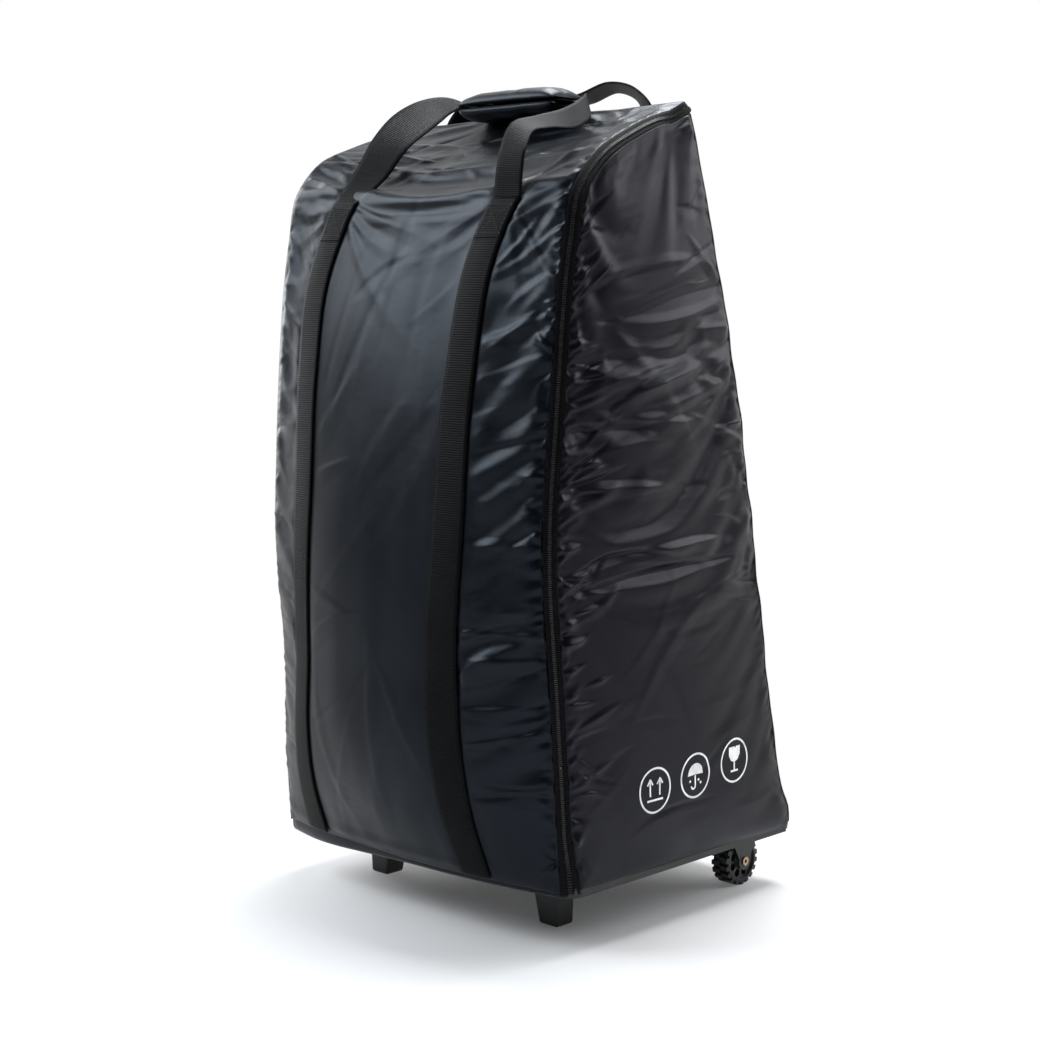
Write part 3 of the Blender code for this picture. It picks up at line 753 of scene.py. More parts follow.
def sewing(name, surface, facing, u_of, rows, columns):
    """Stitches along straight rows on a strap: each row is its two ends (k, v) and its lift."""
    spots, ways, ups = [], [], []
    for (start, end), lift in rows:
        span = (np.array(end) - start) * np.array([STRAP_WIDTH, FLAP_END * edge.length])
        share = np.linspace(0, 1, max(3, int(np.hypot(*span) / STITCH_PITCH)))
        k = start[0] + (end[0] - start[0]) * share
        v = start[1] + (end[1] - start[1]) * share
        up = unit(sample(facing, u_of(v, k), v, columns))
        line = sample(surface, u_of(v, k), v, columns) + up * lift
        spots.append(line)
        ways.append(unit(np.gradient(line, axis=0)))
        ups.append(up)
    thread = small_blocks(name, np.concatenate(spots), np.concatenate(ways), np.concatenate(ups), STITCH)
    dress(thread, THREAD, HINGE, "webbing")


for side, sign in SIDES:
    def strap_u(v, k):
        return ((strap_line(sign, v * FLAP_END) + k * STRAP_WIDTH) / FLAP_HALF + 1) / 2

    web = strap_sheet(flap_even, flap_out, strap_u, (0.004, flap_top / FLAP_END), 260, FLAP_COLUMNS)
    node = side + "_front_strap"
    ribbon(side + "_front_webbing", web, (0, -1, 0), WEB_THICK, STRAP, HINGE, node, offset=1.0)
    low, high = (edge.share_at(1, z) / FLAP_END for z in ANCHOR)
    web = strap_sheet(flap_even, flap_out, strap_u, (low, high), 30, FLAP_COLUMNS, PATCH_LIFT)
    ribbon(side + "_strap_anchor", web, (0, -1, 0), PATCH_THICK, STRAP, "front_flap")
    k, a, b = BOX_HALF, low + SEW_MARGIN, high - SEW_MARGIN
    box = [((-k, a), (k, a)), ((-k, b), (k, b)), ((-k, a), (k, b)), ((k, a), (-k, b))]
    box += [((g, a), (g, b)) for g in (-k, k)]
    rows = [(ends, BOX_LIFT) for ends in box]
    rows += [(((g, SEW_MARGIN), (g, low - 0.002)), SEW_LIFT) for g in (-0.44, 0.44)]
    sewing(side + "_strap_thread", flap_even, flap_out, strap_u, rows, FLAP_COLUMNS)

# Side panels
SIDE_COLS = 60
SIDE_ROWS = 124
SIDE_COLUMNS = seam_shares(0.40, 0.0034, 0.0052)
SIDE_FINE_ROWS = 460
SIDE_EASE = 0.0090
REAR_PUCKER = 0.0020
REAR_FOLD = 7

# Folds of a side, as above, with seeds that count on from the side's own; REAR_FOLD is at the back seam
SIDE_FOLDS = ((5, ((0.04, 0.26), (0.40, 0.80)), 20, (-2, 5), (0.150, 0.024, 0.0078)),
              (6, ((0.0, 0.08), (0.12, 0.92)), 54, (0, 16), (0.044, 0.010, 0.0044)),
              (REAR_FOLD, ((0.0, 0.08), (0.30, 0.95)), 22, (6, 14), (0.050, 0.012, 0.0036)),
              (8, ((0.02, 0.40), (0.28, 1.0)), 9, (12, 24), (0.150, 0.036, 0.0034)),
              (9, ((0.05, 0.42), (0.04, 0.36)), 16, (8, 22), (0.090, 0.022, 0.0013)))


def make_side(sign, seed):
    v, u = shares(SIDE_ROWS, SIDE_COLS)
    start = side_points(sign, u, v)
    height = start[..., 2]
    rim = np.minimum(np.minimum(u, 1 - u) * 0.4, np.minimum(v, 1 - v))
    middle = ramp(0.42, 0.56, height) * (1 - ramp(0.80, 0.92, height))
    wander = ripple(u.shape, seed, [(9, 3, 1.0)])
    folds = np.sin(math.tau * (height - 0.05 * u) / 0.082 + 6.0 * wander) * FOLD_HEIGHT * middle
    folds = folds * np.clip(0.6 + 1.2 * ripple(u.shape, seed + 4, [(7, 4, 1.0)]), 0.1, 1.3)
    gentle = ripple(u.shape, seed + 1, [(30, 8, 0.0020), (8, 4, 0.0025)])
    lift = ramp(0, 0.02, rim) * (folds + gentle * (0.35 + 0.65 * middle))
    ease = SIDE_EASE * ramp(0.02, 0.12, rim)
    start[..., 0] += sign * (lift + PILLOW * ramp(0, 0.016, rim) - ease)
    hold = 0.003 + 0.06 * (1 - ramp(0.30, 0.48, height)) + 0.05 * ramp(0.86, 0.98, height)
    hold = np.where(rim < 0.004, 1.0, hold)
    settled = drape(f"side{seed}", start, (sign, 0, 0), hold, (0.012, 0.05), 1.0)
    settled, u, v = finer(settled, SIDE_FINE_ROWS, SIDE_COLUMNS)
    tall = SHOULDER * edge.length
    deep = np.linalg.norm(np.diff(settled, axis=1), axis=2).sum(axis=1)[:, None]
    run = v * tall
    across = u * deep
    far = deep - across
    seam = puckers(run, across, tall, seed + 2) + puckers(run, far, tall, seed + 3, REAR_PUCKER)
    sharp = sum(creases(far if k == REAR_FOLD else across, run, seed + k, *folds) for k, *folds in SIDE_FOLDS)
    near = ramp(0, 0.014, np.minimum(np.minimum(across, far), np.minimum(v, 1 - v) * tall))
    settled[..., 0] += sign * (seam + near * sharp)
    low = 1 - ramp(0, 0.035, run)
    rear_turn = ramp(0.30, BASE_DEPTH, settled[..., 1] + Y_CENTRE)
    settled[..., 2] -= low * (SIDE_DROP + 0.003 * rear_turn)
    settled[..., 0] -= sign * 0.002 * (1 - ramp(0, 0.010, run))
    return settled


side_grids = {}
for side, sign in SIDES:
    side_grids[side] = make_side(sign, 11 if sign > 0 else 31)
    cloth_panel(side + "_side_cloth", side_grids[side], (sign, 0, 0), SIDE_COLUMNS, SIDE_SHEEN_NYLON, "shell",
                side + "_side_panel")


# Back panel and its webbing
BACK_HALF = HALF - 0.0055
BACK_COLS = 48
BACK_ROWS = 90
BACK_FINE_ROWS = 320
BACK_COLUMNS = seam_shares(2 * BACK_HALF, 0.0034, 0.0056)
BACK_PUCKER = 0.0022
BACK_START = 0.00175
REAR_STRAP_RUN = (0.012, 0.945)


def strap_cover(x):
    """1 under the rear straps, 0 away from them."""
    under = sum(1 - ramp(0, 0.012, np.abs(x - g * REAR_STRAP_X) - STRAP_WIDTH / 2) for g in (1, -1))
    return np.clip(under, 0, 1)


def make_back():
    v, u = shares(BACK_ROWS, BACK_COLS)
    x = BACK_HALF * (2 * u - 1)
    low = BACK_START / BACK_LENGTH
    high = 1 - ZIP_CUT / BACK_LENGTH
    start = back_points(x, low + v * (high - low))
    rim = np.minimum(np.minimum(u, 1 - u), np.minimum(v, 1 - v))
    lift = ramp(0, 0.03, rim) * ripple(u.shape, 51, [(40, 8, 0.002), (10, 5, 0.003)])
    sewn = strap_cover(x)
    start[..., 1] += lift * (1 - sewn)
    hold = np.where(rim < 0.006, 1.0, 0.012 + 0.1 * sewn)
    settled = drape("back", start, BACK_OUT, hold, (0.02, 0.03), 0.6)
    settled = settled + (blur(settled, 12) - settled) * sewn[..., None]
    settled, u, v = finer(settled, BACK_FINE_ROWS, BACK_COLUMNS)
    x = BACK_HALF * (2 * u - 1)
    run = v * BACK_LENGTH
    rim = np.minimum(BACK_HALF - np.abs(x), np.minimum(run, BACK_LENGTH - run))
    seam = creases(x, run, *BACK_FOLDS) * ramp(0, 0.014, rim)
    for seed, away in ((82, BACK_HALF - x), (83, BACK_HALF + x)):
        seam = seam + puckers(run, away, BACK_LENGTH, seed, BACK_PUCKER)
    return settled + normals_out(settled, BACK_OUT) * (seam * (1 - strap_cover(x)))[..., None]


back = make_back()
cloth_panel("back_panel_cloth", back, BACK_OUT, BACK_COLUMNS, SIDE_SHEEN_NYLON, "shell", "back_panel")
back_facing = normals_out(back, BACK_OUT)
for side, sign in SIDES:
    def rear_u(v, k):
        return ((sign * REAR_STRAP_X + k * STRAP_WIDTH) / BACK_HALF + 1) / 2

    web = strap_sheet(blur(back, 8), back_facing, rear_u, REAR_STRAP_RUN, 120, BACK_COLUMNS)
    node = side + "_rear_strap"
    ribbon(side + "_rear_webbing", web, (0, 1, 0), WEB_THICK, STRAP, "shell", node, offset=1.0)


# Piping up the back edges, and the fabric skirt that hides the base tray
CORD_R = 0.0036
CORD_X = HALF - 0.0030
for side, sign in SIDES:
    rise = np.linspace(0.0, 1 - ZIP_CUT / BACK_LENGTH, 90)
    cord = tube_object(side + "_back_cord", settle(to_row(sign * CORD_X, back_line(rise))), CORD_R)
    dress(cord, SIDE_SHEEN_NYLON, "shell", "webbing", side + "_rear_piping")


HEM_DEPTH = BASE_DEPTH - 0.006
FRONT_R = 0.022
REAR_R = 0.044


def base_ring(out):
    """The base outline in bag (x, y), pushed out by a margin."""
    x = np.linspace(-FLAP_HALF, FLAP_HALF, 41)
    front = np.stack([x, flap_points(x, np.zeros(41))[:, 1] + Y_CENTRE - out], axis=1)
    turn = np.linspace(0, math.pi / 2, 8)[1:]
    share = turn[:, None] / turn[-1]
    swing = np.sin(share * math.pi / 2) ** np.array([1, 1.6])
    corner = front[-1] + (np.array([HALF + out, FRONT_R]) - front[-1]) * swing
    deep = HEM_DEPTH - REAR_R
    edge_line = np.stack([np.full(20, HALF + out), np.linspace(FRONT_R, deep, 21)[1:]], axis=1)
    rear_x = HALF - REAR_R + (REAR_R + out) * np.cos(turn)
    rear = np.stack([rear_x, deep + (REAR_R + out) * np.sin(turn)], axis=1)
    right = np.concatenate([corner, edge_line, rear])
    back_x = np.linspace(HALF - REAR_R, -(HALF - REAR_R), 24)[1:-1]
    back_row = np.stack([back_x, np.full(22, HEM_DEPTH + out)], axis=1)
    near = np.clip(1 - (right[:, 1] + 0.02) / 0.05, 0, 1)[:, None]
    left = (right + near * np.array([0, 1]) * (front[0, 1] - front[-1, 1]))[::-1] * np.array([-1, 1])
    return np.concatenate([front, right, back_row, left])


SKIRT = [(-0.0050, 0.0975), (-0.0042, 0.0920), (-0.0040, 0.0870), (-0.0048, 0.0832), (-0.0076, 0.0806)]
SKIRT += [(-0.0130, 0.0794)]
SKIRT_THICK = 0.0008
SKIRT_BEND = 0.0943
SKIRT_FALL = 0.016
LEFT_SAG = 0.014
CORNER_RISE = 0.007


def make_skirt():
    rows = []
    for out, z in SKIRT:
        ring = base_ring(out)
        corner = ramp(0.40, BASE_DEPTH, ring[:, 1]) * ramp(0.24, HALF, np.abs(ring[:, 0]))
        turned_up = CORNER_RISE * corner
        ring = np.concatenate([ring, ring[:1]])
        turned_up = np.r_[turned_up, turned_up[:1]]
        low = (SKIRT_BEND - z) / SKIRT_FALL
        sag = LEFT_SAG * ramp(-0.05, 0.24, -ring[:, 0]) * (1 - ramp(0.0, 0.16, ring[:, 1]))
        rows.append(np.stack([ring[:, 0], ring[:, 1] - Y_CENTRE, z + (turned_up - sag) * low], axis=1))
    made = weld(sheet("base_skirt", np.array(rows), (0, 0, 0.001)))
    thicken(made, SKIRT_THICK)
    dress(made, SIDE_SHEEN_NYLON, "shell", "nylon", "base_piping")


make_skirt()


# Zips: two tapes and a row of teeth on each
def zip_half(points_a, points_b, span, steps):
    """Grid of tape points between two edge lines."""
    rows = np.linspace(0, 1, steps)
    across = np.linspace(*span, 5)
    a = points_a(rows)[:, None, :]
    b = points_b(rows)[:, None, :]
    return a + (b - a) * across[None, :, None]


def side_zip(sign):
    def hang(points, t):
        points[..., 2] -= SIDE_DROP * (1 - ramp(0, 0.03, t))
        return points

    def flap_side(t):
        return hang(settle(to_row(sign * FLAP_HALF, edge.at(t * FLAP_END))), t)

    def shell_side(t):
        return hang(settle(to_row(sign * HALF, zip_side(t * FLAP_END))), t)

    return flap_side, shell_side


def zip_corner(sign):
    """Where a side zip turns into the rear zip: a fixed inner point and a rounded outer line."""
    start = side_zip(sign)[1](np.array(1.0))
    share = np.array((1 + sign) / 2)
    end = rear_zip()[1](share)
    turn = np.array([start[0], end[1], 0.5 * (start[2] + end[2])])
    inner = rear_zip()[0](share)

    def flap_side(t):
        return np.broadcast_to(inner, (*np.shape(t), 3))

    def shell_side(t):
        k = np.asarray(t)[..., None]
        return (1 - k) ** 2 * start + 2 * k * (1 - k) * turn + k * k * end

    return flap_side, shell_side


def rear_zip():
    wide = FLAP_HALF - 0.004

    def flap_side(t):
        return settle(to_row((2 * t - 1) * wide, np.broadcast_to(edge.at(FLAP_END), (*np.shape(t), 2))))

    def shell_side(t):
        return settle(to_row((2 * t - 1) * wide, np.broadcast_to(back_seam, (*np.shape(t), 2))))

    return flap_side, shell_side


TAPE_THICK = 0.0011
TAPE_STEPS = 160
CORNER_STEPS = 14
TOOTH_PITCH = 0.0030
TOOTH_LIFT = 0.0006
TOOTH = (0.0021, 0.0034, 0.0024)


def teeth(name, points_a, points_b, middle, length, out):
    """Small rounded blocks along one edge of a tape."""
    count = int(length / TOOTH_PITCH)
    t = (np.arange(count) + 0.5) / count
    a = points_a(t)
    across = unit(points_b(t) - a)
    way = unit(points_a(np.minimum(t + 0.002, 1)) - points_a(np.maximum(t - 0.002, 0)))
    up = unit(np.cross(way, across))
    if (up @ np.array(out, float)).sum() < 0:
        up = -up
    spot = a + (points_b(t) - a) * middle + up * TOOTH_LIFT
    return small_blocks(name, spot, way, up, TOOTH)


ZIPS = [(side, *side_zip(sign), edge.length, (sign, -1, 0.3)) for side, sign in SIDES]
ZIPS.append(("rear", *rear_zip(), 2 * HALF, (0, 1, 1)))
CORNERS = [(side, *zip_corner(sign), (0, 0.3, 1)) for side, sign in SIDES]
HALVES = (("flap", (0.02, 0.485), 0.45, "front_flap"), ("shell", (0.515, 0.98), 0.55, "shell"))
for place, points_a, points_b, length, out in ZIPS:
    for half, span, middle, body in HALVES:
        if half == "flap" and place != "rear":
            body = HINGE
        tape = zip_half(points_a, points_b, span, TAPE_STEPS)
        ribbon(f"{place}_{half}_zip_tape", tape, out, TAPE_THICK, TAPE, body, f"{place}_{half}_tape")
        row = teeth(f"{place}_{half}_zip_teeth", points_a, points_b, middle, length, out)
        dress(row, COIL, body, "hard_plastic")
for place, points_a, points_b, out in CORNERS:
    for half, span, _, body in HALVES:
        tape = zip_half(points_a, points_b, span, CORNER_STEPS)
        ribbon(f"{place}_{half}_zip_corner", tape, out, TAPE_THICK, TAPE, body)


# Carry loops
def mirrored(points):
    return points + [(-x, y, z) for x, y, z in reversed(points)]


LOOP_LENGTH = 0.95
LOOP_FOOT = 0.93
LOOP_LIFT = 0.004
REAR_LOOP_LIFT = 0.0035


def band(name, outer, inner, steps, out, body, node):
    """A loop of webbing between two long edges."""
    run = np.linspace(0, 1, steps)
    a, b = (Path([(x, y - Y_CENTRE, z) for x, y, z in line]).at(run)[:, None, :] for line in (outer, inner))
    share = np.linspace(0, 1, 9)[None, :, None]
    size = (STRAP_WIDTH, LOOP_LENGTH)
    ribbon(name, a * (1 - share) + b * share, out, WEB_THICK, STRAP, body, node, offset=0.0, uv_size=size)


def flap_foot(sign, k):
    spot = flap_points(strap_line(sign, np.array(flap_top)) + k * STRAP_WIDTH / 2, np.array(flap_top))
    return (spot[0], spot[1] + Y_CENTRE - LOOP_LIFT, spot[2])


def back_foot(k):
    spot = back_points(np.array(REAR_STRAP_X + k * STRAP_WIDTH / 2), np.array(LOOP_FOOT))
    return (spot[0], spot[1] + Y_CENTRE + REAR_LOOP_LIFT, spot[2])


IN_GRIP = [(0.095, 0.212, GRIP_Z), (0.040, 0.212, GRIP_Z)], [(0.095, 0.164, GRIP_Z), (0.040, 0.164, GRIP_Z)]
RIGHT_OUTER = [flap_foot(1, 1), (0.214, -0.008, 1.094), (0.205, 0.014, 1.119), (0.195, 0.060, 1.129)]
RIGHT_OUTER += [(0.189, 0.120, 1.133), (0.173, 0.165, 1.152), (0.146, 0.186, 1.170), (0.118, 0.172, 1.180)]
RIGHT_OUTER += IN_GRIP[1]
RIGHT_INNER = [flap_foot(1, -1), (0.166, -0.008, 1.097), (0.163, 0.016, 1.134), (0.166, 0.060, 1.147)]
RIGHT_INNER += [(0.166, 0.110, 1.159), (0.154, 0.160, 1.176), (0.134, 0.198, 1.190), (0.112, 0.212, 1.186)]
RIGHT_INNER += IN_GRIP[0]
LEFT_OUTER = [flap_foot(-1, -1), (-0.154, 0.014, 1.090), (-0.149, 0.045, 1.137), (-0.145, 0.085, 1.173)]
LEFT_OUTER += [(-0.132, 0.120, 1.192), (-0.118, 0.160, 1.199), (-0.106, 0.195, 1.190)]
LEFT_OUTER += [(-x, y, z) for x, y, z in IN_GRIP[0]]
LEFT_INNER = [flap_foot(-1, 1), (-0.102, 0.022, 1.070), (-0.086, 0.055, 1.117), (-0.082, 0.090, 1.142)]
LEFT_INNER += [(-0.086, 0.122, 1.160), (-0.094, 0.148, 1.173), (-0.094, 0.160, 1.179)]
LEFT_INNER += [(-x, y, z) for x, y, z in IN_GRIP[1]]
REAR_OUTER = [back_foot(1), (0.210, 0.252, 1.174), (0.181, 0.252, 1.198), (0.127, 0.256, 1.211)]
REAR_OUTER += [(0.060, 0.259, 1.198)]
REAR_INNER = [back_foot(-1), (0.170, 0.282, 1.152), (0.152, 0.294, 1.182), (0.110, 0.299, 1.200)]
REAR_INNER += [(0.056, 0.301, 1.189)]
front_outer = RIGHT_OUTER + LEFT_INNER[::-1]
front_inner = RIGHT_INNER + LEFT_OUTER[::-1]
band("front_loop_webbing", front_outer, front_inner, 360, (0, -1, 1), "front_flap", "front_handle_loop")
rear_outer = mirrored(REAR_OUTER)
rear_inner = mirrored(REAR_INNER)
band("rear_loop_webbing", rear_outer, rear_inner, 220, (0, 1, 0), "shell", "rear_handle_loop")

# Grip: two padded halves with puffed lips
GRIP_ENDS = (-0.088, GRIP_HALF)
LIP_FRONT = 0.150
PAD_BACK = 0.003
PAD_GAP = 0.0022
PAD_THICK = 0.0200


def grip_half(name, way, body, node):
    """A pillow folded at the back, flat inside and puffed outside, whose lip opens to the front."""
    turn, u = np.meshgrid(np.linspace(0, math.tau, 49), np.linspace(0, 1, 71), indexing="ij")
    share = (1 - np.cos(turn)) / 2
    end = np.maximum(1 - np.abs(2 * u - 1) ** 7, 0.0) ** 0.6
    lumps = 1 + ripple(u.shape, 71 + way, [(4, 9, 0.10)]) - 0.12 * np.exp(-((share - 0.55) / 0.08) ** 2)
    x = GRIP_ENDS[0] + (GRIP_ENDS[1] - GRIP_ENDS[0]) * u
    y = GRIP_BACK + PAD_BACK - (GRIP_BACK - LIP_FRONT) * share * (0.93 + 0.07 * end) - Y_CENTRE
    puff = PAD_THICK * (0.3 + 0.7 * end) * lumps * np.maximum(np.sin(turn), 0) ** 0.7
    sag = 0.0025 * share ** 3 * np.maximum(-np.sin(turn), 0)
    z = GRIP_Z + way * (PAD_GAP + puff + sag)
    made = weld(sheet(name, np.stack([x, y, z], axis=-1), (0, 0, 0.001)), fill=True)
    dress(made, FRONT_SHEEN_NYLON, body, "nylon", node)


grip_half("grip_lower_pad", -1, "front_flap", "grip_pad")
grip_half("grip_upper_pad", 1, "grip_top", "grip_cover")


SPINE = [(-0.016, -0.0085), (-0.008, -0.0070), (-0.002, -0.0042), (0.0015, -0.0016)]
SPINE += [(y, -z) for y, z in reversed(SPINE)]
SPINE_THICK = 0.0012
SPINE_SHARE = 0.94


def grip_spine():
    """The fold of fabric that joins the two grip halves along their hinge."""
    turn, x = np.meshgrid(np.linspace(0, 1, 17), np.linspace(*GRIP_ENDS, 60) * SPINE_SHARE, indexing="ij")
    steps = np.linspace(0, 1, len(SPINE))
    y, z = (along(list(zip(steps, c)), turn) for c in zip(*SPINE))
    y = y + GRIP_BACK + PAD_BACK - Y_CENTRE
    z = z + GRIP_Z
    made = sheet("grip_spine", np.stack([x, y, z], axis=-1), (0, 1, 0))
    thicken(made, SPINE_THICK)
    made.data.materials.append(FRONT_SHEEN_NYLON)
    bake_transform(made)


grip_spine()


# Wheels with staggered lugs
WINDOW_R = 0.0055
WINDOW_RING = 0.0205
WINDOW_STRETCH = 1.15
WINDOWS = 8
LUGS = 18
LUG_HEIGHT = 0.0045
LUG_ROW = 0.0078
LUG_SKEW = 0.03
LUG_ROUND = 0.0006
LUG_TOP = (0.0136, 0.0074)
LUG_FOOT = (0.0150, 0.0088)


def make_wheel(side, sign):
    tread = WHEEL_WIDTH / 2
    body_r = WHEEL_R - LUG_HEIGHT
    profile = [(-tread, 0.0046), (-tread, 0.0115), (-tread + 0.004, 0.0135), (-tread + 0.004, 0.0275)]
    profile += [(-tread, 0.0295), (-tread, body_r - 0.0015), (-tread + 0.0015, body_r)]
    profile += [(-x, r) for x, r in reversed(profile)]
    bm = bmesh.new()
    ring = [bm.verts.new((x, r, 0)) for x, r in profile]
    sides = [bm.edges.new((ring[i - 1], ring[i])) for i in range(len(ring))]
    bmesh.ops.spin(bm, geom=ring + sides, axis=(1, 0, 0), cent=(0, 0, 0), angle=math.tau, steps=72,
                   use_merge=True, use_duplicate=False)
    bmesh.ops.remove_doubles(bm, verts=bm.verts, dist=MEET)
    bmesh.ops.recalc_face_normals(bm, faces=bm.faces)
    body = link(side + "_wheel_body", bm)
    holes = bmesh.new()
    for k in range(WINDOWS):
        turn = math.tau * (k + 0.5) / WINDOWS
        cos = math.cos(turn)
        sin = math.sin(turn)
        made = bmesh.ops.create_cone(holes, cap_ends=True, segments=20, radius1=WINDOW_R, radius2=WINDOW_R,
                                     depth=2.5 * WHEEL_WIDTH)
        for vert in made["verts"]:
            x, y, z = vert.co
            out = y * WINDOW_STRETCH + WINDOW_RING
            vert.co = (z, out * cos - x * sin, out * sin + x * cos)
    bmesh.ops.recalc_face_normals(holes, faces=holes.faces)
    cutter = link("windows", holes)
    cut = body.modifiers.new("windows", "BOOLEAN")
    cut.object = cutter
    cut.operation = "DIFFERENCE"
    bpy.context.view_layer.update()
    shaped = bpy.data.meshes.new_from_object(body.evaluated_get(bpy.context.evaluated_depsgraph_get()))
    body.modifiers.clear()
    body.data = shaped
    bpy.data.objects.remove(cutter)
    lugs = bmesh.new()
    lugs.from_mesh(shaped)
    for row, shift in ((-1, 0.0), (1, 0.5)):
        for k in range(LUGS):
            turn = math.tau * (k + shift) / LUGS
            for vert in bmesh.ops.create_cube(lugs, size=1)["verts"]:
                x, y, z = vert.co
                radius = WHEEL_R if z > 0 else body_r - 0.001
                long, wide = LUG_TOP if z > 0 else LUG_FOOT
                angle = turn + y * wide / WHEEL_R + LUG_SKEW * row * x
                vert.co = (row * LUG_ROW + x * long, radius * math.cos(angle), radius * math.sin(angle))
    bmesh.ops.recalc_face_normals(lugs, faces=lugs.faces)
    lugs.to_mesh(shaped)
    lugs.free()
    for poly in shaped.polygons:
        poly.use_smooth = False
    soften = body.modifiers.new("soften", "BEVEL")
    soften.width = LUG_ROUND
    soften.segments = 2
    soften.limit_method = "ANGLE"
    body.location = (sign * WHEEL_X, WHEEL_Y - Y_CENTRE, WHEEL_R)
    dress(body, RUBBER, side + "_wheel", "hard_plastic", side + "_wheel")


for side, sign in SIDES:
    make_wheel(side, sign)


# Printed handling marks on the right side: arrows, umbrella, glass
MARK_R = 0.0335
MARK_LINE = 0.0031
MARK_LIFT = 0.0004
THIN_LINE = MARK_LINE * 0.9
MARKS = ((0.153, 0.208, "arrows"), (0.241, 0.214, "umbrella"), (0.334, 0.220, "glass"))


def stroke(points, width=MARK_LINE):
    """Quads along a line, as (left, right) point pairs."""
    way = unit(np.gradient(points, axis=0))
    across = np.stack([-way[:, 1], way[:, 0]], axis=1) * width / 2
    return list(zip(points + across, points - across))


def ring_line(radius, centre=(0, 0), start=0.0, end=math.tau, steps=64):
    t = np.linspace(start, end, steps)
    return np.stack([centre[0] + radius * np.cos(t), centre[1] + radius * np.sin(t)], axis=1)


def line(a, b, steps=12):
    return np.linspace(a, b, steps)


def fan(points, centre):
    """Filled shape from a centre to an outline, as strips."""
    return [(p, np.array(centre, float)) for p in points]


def mark_strips(kind):
    r = MARK_R
    strips = [stroke(ring_line(r - MARK_LINE / 2))]
    if kind == "arrows":
        strips.append(stroke(line((-0.5 * r, -0.42 * r), (0.5 * r, -0.42 * r))))
        for x in (-0.30 * r, 0.30 * r):
            strips.append(stroke(line((x, -0.24 * r), (x, 0.42 * r))))
            for way in (-1, 1):
                strips.append(stroke(line((x, 0.50 * r), (x + way * 0.17 * r, 0.24 * r)), THIN_LINE))
    if kind == "umbrella":
        strips.append(fan(ring_line(0.52 * r, (0, 0.02 * r), 0, math.pi, 40), (0, 0.05 * r)))
        strips.append(stroke(line((0, 0.02 * r), (0, -0.44 * r)), THIN_LINE))
        strips.append(stroke(ring_line(0.13 * r, (-0.13 * r, -0.44 * r), 0, -math.pi, 16), THIN_LINE))
        for x, y in ((-0.34, -0.22), (0.22, -0.22), (0.36, -0.36)):
            strips.append(fan(ring_line(0.06 * r, (x * r, y * r), 0, math.tau, 14), (x * r, y * r)))
    if kind == "glass":
        bowl = [(-0.42, 0.62), (0.02, 0.62), (-0.04, 0.44), (0.08, 0.38), (0.02, 0.24), (0.16, 0.42)]
        bowl += [(0.06, 0.48), (0.12, 0.62), (0.42, 0.62), (0.40, 0.24), (0.24, 0.0), (0.0, -0.08)]
        bowl += [(-0.24, 0.0), (-0.40, 0.24)]
        strips.append(("face", np.array(bowl) * r))
        strips.append(stroke(line((0, -0.02 * r), (0, -0.44 * r))))
        strips.append(stroke(line((-0.26 * r, -0.47 * r), (0.26 * r, -0.47 * r))))
    return strips


def print_marks():
    grid = side_grids["right"]
    rows, cols, _ = grid.shape
    tree = BVHTree.FromPolygons(grid.reshape(-1, 3).tolist(), grid_faces(rows, cols).tolist())
    bm = bmesh.new()
    for y, z, kind in MARKS:
        def spot(p):
            place = Vector((1.0, y - Y_CENTRE + p[0], z + p[1]))
            hit = tree.ray_cast(place, Vector((-1, 0, 0)))[0]
            return bm.verts.new((hit.x + MARK_LIFT, place.y, place.z))

        for strip in mark_strips(kind):
            if isinstance(strip, tuple):
                bm.faces.new([spot(p) for p in strip[1]])
                continue
            pairs = [(spot(a), spot(b)) for a, b in strip]
            for (a, b), (c, d) in zip(pairs, pairs[1:]):
                bm.faces.new((a, b, d, c))
    bmesh.ops.triangulate(bm, faces=bm.faces)
    for face in bm.faces:
        if face.normal.x < 0:
            face.normal_flip()
    dress(link("handling_marks", bm), PRINT, "shell", "nylon")


print_marks()

# Solids that keep their shape get a finish
FINISH = {"base_tray": PLASTIC, "base_board": BOARD}
for side, _ in SIDES:
    FINISH[side + "_wheel_bracket"] = PLASTIC
    FINISH[side + "_foot"] = PLASTIC
    FINISH[side + "_axle"] = BRASS
    FINISH[side + "_zip_slider"] = SLIDER
    FINISH[side + "_zip_pull"] = THREAD
for name, look in FINISH.items():
    NODES[name].data.materials.clear()
    NODES[name].data.materials.append(look)


# Studio: a pale sweep of floor and backdrop, soft light and the camera
CAMERA_PLACE = (2.0387, -2.0694, 0.8978)
CAMERA_AIM = (0.0, 0.0096, 0.563)
FOCAL_LENGTH = 66.7
SENSOR = 36
SWEEP = [(-40.0, 0.0), (-9.0, 0.0), (2.2, 0.0), (3.2, 0.0), (3.9, 0.25), (4.3, 0.8)]
SWEEP += [(4.5, 1.8), (4.6, 4.0), (4.6, 8.0)]
FLOOR_FADE = {"From_Min": 0.34, "From_Max": 1.02, "To_Min": 0.05}
FADE_CENTRE = (0.32, -0.22, 0)
FLOOR_WIDE = 30.0
WALL_WIDE = 9.0
SKY = (0.90, 0.95, 1.0, 1)
SKY_STRENGTH = 0.15


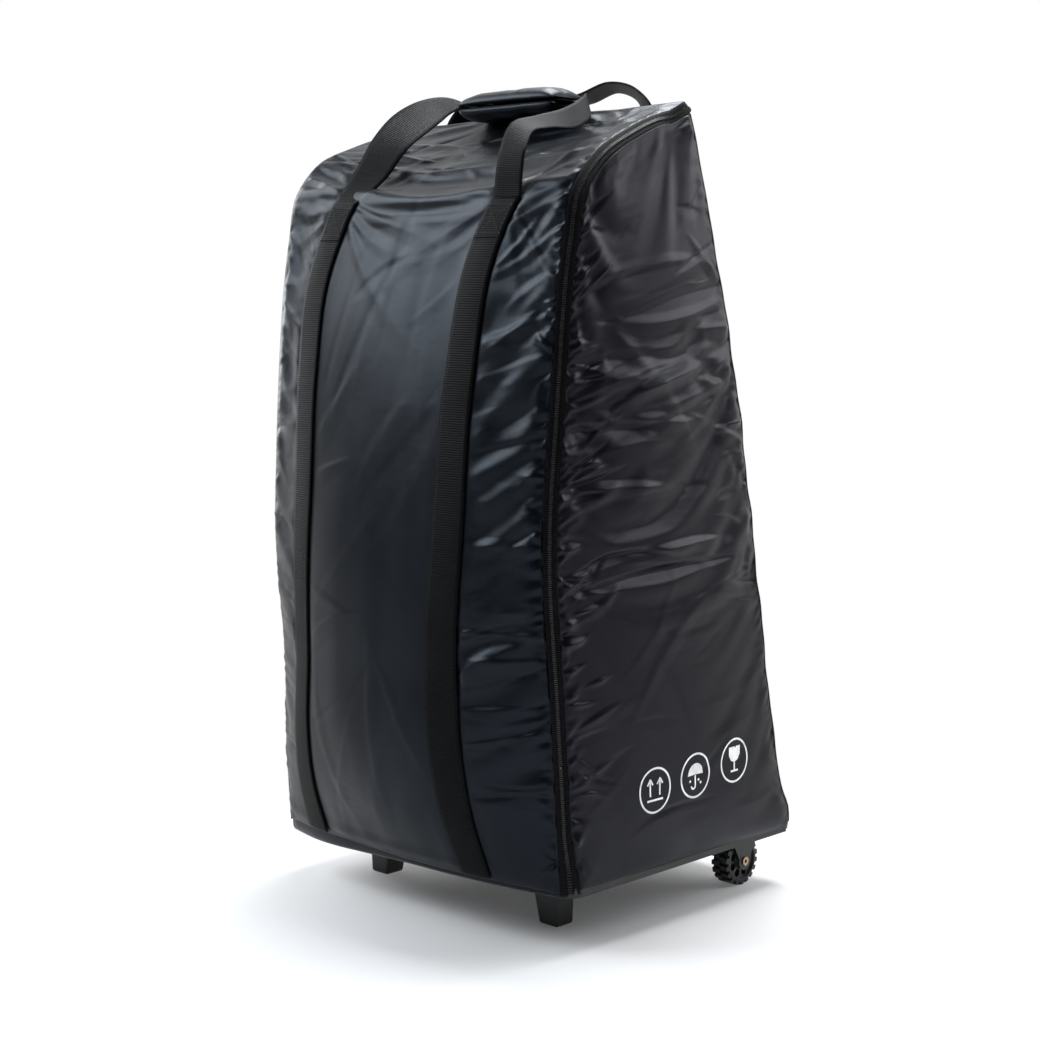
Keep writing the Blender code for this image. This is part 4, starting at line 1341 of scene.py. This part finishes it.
def make_floor():
    view = unit(np.array([CAMERA_AIM[0] - CAMERA_PLACE[0], CAMERA_AIM[1] - CAMERA_PLACE[1], 0.0]))
    across = np.array([view[1], -view[0], 0.0])
    rows = []
    for run, z in SWEEP:
        wide = WALL_WIDE if z else FLOOR_WIDE
        rows.append([view * run + across * w + np.array([0, 0, z]) for w in (-wide, 0, wide)])
    made = sheet("floor", np.array(rows), (0, 0, 1))
    look, nodes, links, shader = new_material("pale_floor", (0.86, 0.86, 0.87), 0.7, Specular_IOR_Level=0.2)
    place = add(nodes, "ShaderNodeTexCoord")
    reach = add(nodes, "ShaderNodeVectorMath", operation="LENGTH")
    fade = add(nodes, "ShaderNodeMapRange", interpolation_type="SMOOTHSTEP", **FLOOR_FADE)
    seen = add(nodes, "ShaderNodeLightPath")
    white = add(nodes, "ShaderNodeEmission", Color=(1, 1, 1, 1), Strength=1.0)
    mix = add(nodes, "ShaderNodeMixShader")
    shift = add(nodes, "ShaderNodeMapping", vector_type="TEXTURE", Location=FADE_CENTRE)
    links.new(place.outputs["Object"], shift.inputs["Vector"])
    links.new(shift.outputs["Vector"], reach.inputs[0])
    links.new(reach.outputs["Value"], fade.inputs["Value"])
    blend = add(nodes, "ShaderNodeMath", operation="MULTIPLY")
    links.new(straight_rays(nodes, links, seen), blend.inputs[0])
    links.new(fade.outputs["Result"], blend.inputs[1])
    links.new(blend.outputs[0], mix.inputs[0])
    links.new(shader.outputs["BSDF"], mix.inputs[1])
    links.new(white.outputs["Emission"], mix.inputs[2])
    links.new(mix.outputs["Shader"], nodes["Material Output"].inputs["Surface"])
    made.data.materials.append(look)


def straight_rays(nodes, links, seen):
    """1 for camera, glossy and transmission rays."""
    last = seen.outputs["Is Camera Ray"]
    for kind in ("Is Glossy Ray", "Is Transmission Ray"):
        either = add(nodes, "ShaderNodeMath", operation="MAXIMUM")
        links.new(last, either.inputs[0])
        links.new(seen.outputs[kind], either.inputs[1])
        last = either.outputs[0]
    return last


def make_world():
    world = bpy.data.worlds.new("studio")
    bpy.context.scene.world = world
    world.use_nodes = True
    soft = world.node_tree.nodes["Background"]
    soft.inputs["Color"].default_value = SKY
    soft.inputs["Strength"].default_value = SKY_STRENGTH


COOL = (0.93, 0.97, 1.0)


def aimed(made, place, aim):
    made.location = place
    made.rotation_euler = (Vector(aim) - Vector(place)).to_track_quat("-Z", "Y").to_euler()
    return in_scene(made)


def softbox(name, place, aim, size, power, colour=(1, 1, 1)):
    lamp = bpy.data.lights.new(name, "AREA")
    lamp.shape = "RECTANGLE"
    lamp.size, lamp.size_y = size
    lamp.energy = power
    lamp.color = colour
    aimed(bpy.data.objects.new(name, lamp), place, aim)


make_floor()
make_world()
softbox("overhead", (-0.1, 0.6, 2.9), (0, 0, 0.6), (1.8, 1.4), 130, (0.97, 0.99, 1.0))
softbox("left_key", (-2.5, 0.1, 1.5), (0, 0, 0.7), (1.0, 1.8), 24, COOL)
softbox("front_high", (-2.0, -1.9, 2.5), (0, 0, 0.9), (2.4, 1.9), 115, COOL)
softbox("right_fill", (1.8, 2.4, 2.1), (0, 0.05, 0.6), (2.4, 2.0), 56)
lens = bpy.data.cameras.new("photo_camera")
lens.sensor_width = SENSOR
lens.lens = FOCAL_LENGTH
camera = aimed(bpy.data.objects.new("photo_camera", lens), CAMERA_PLACE, CAMERA_AIM)
bpy.context.scene.camera = camera
bpy.context.scene.view_settings.view_transform = "Standard"
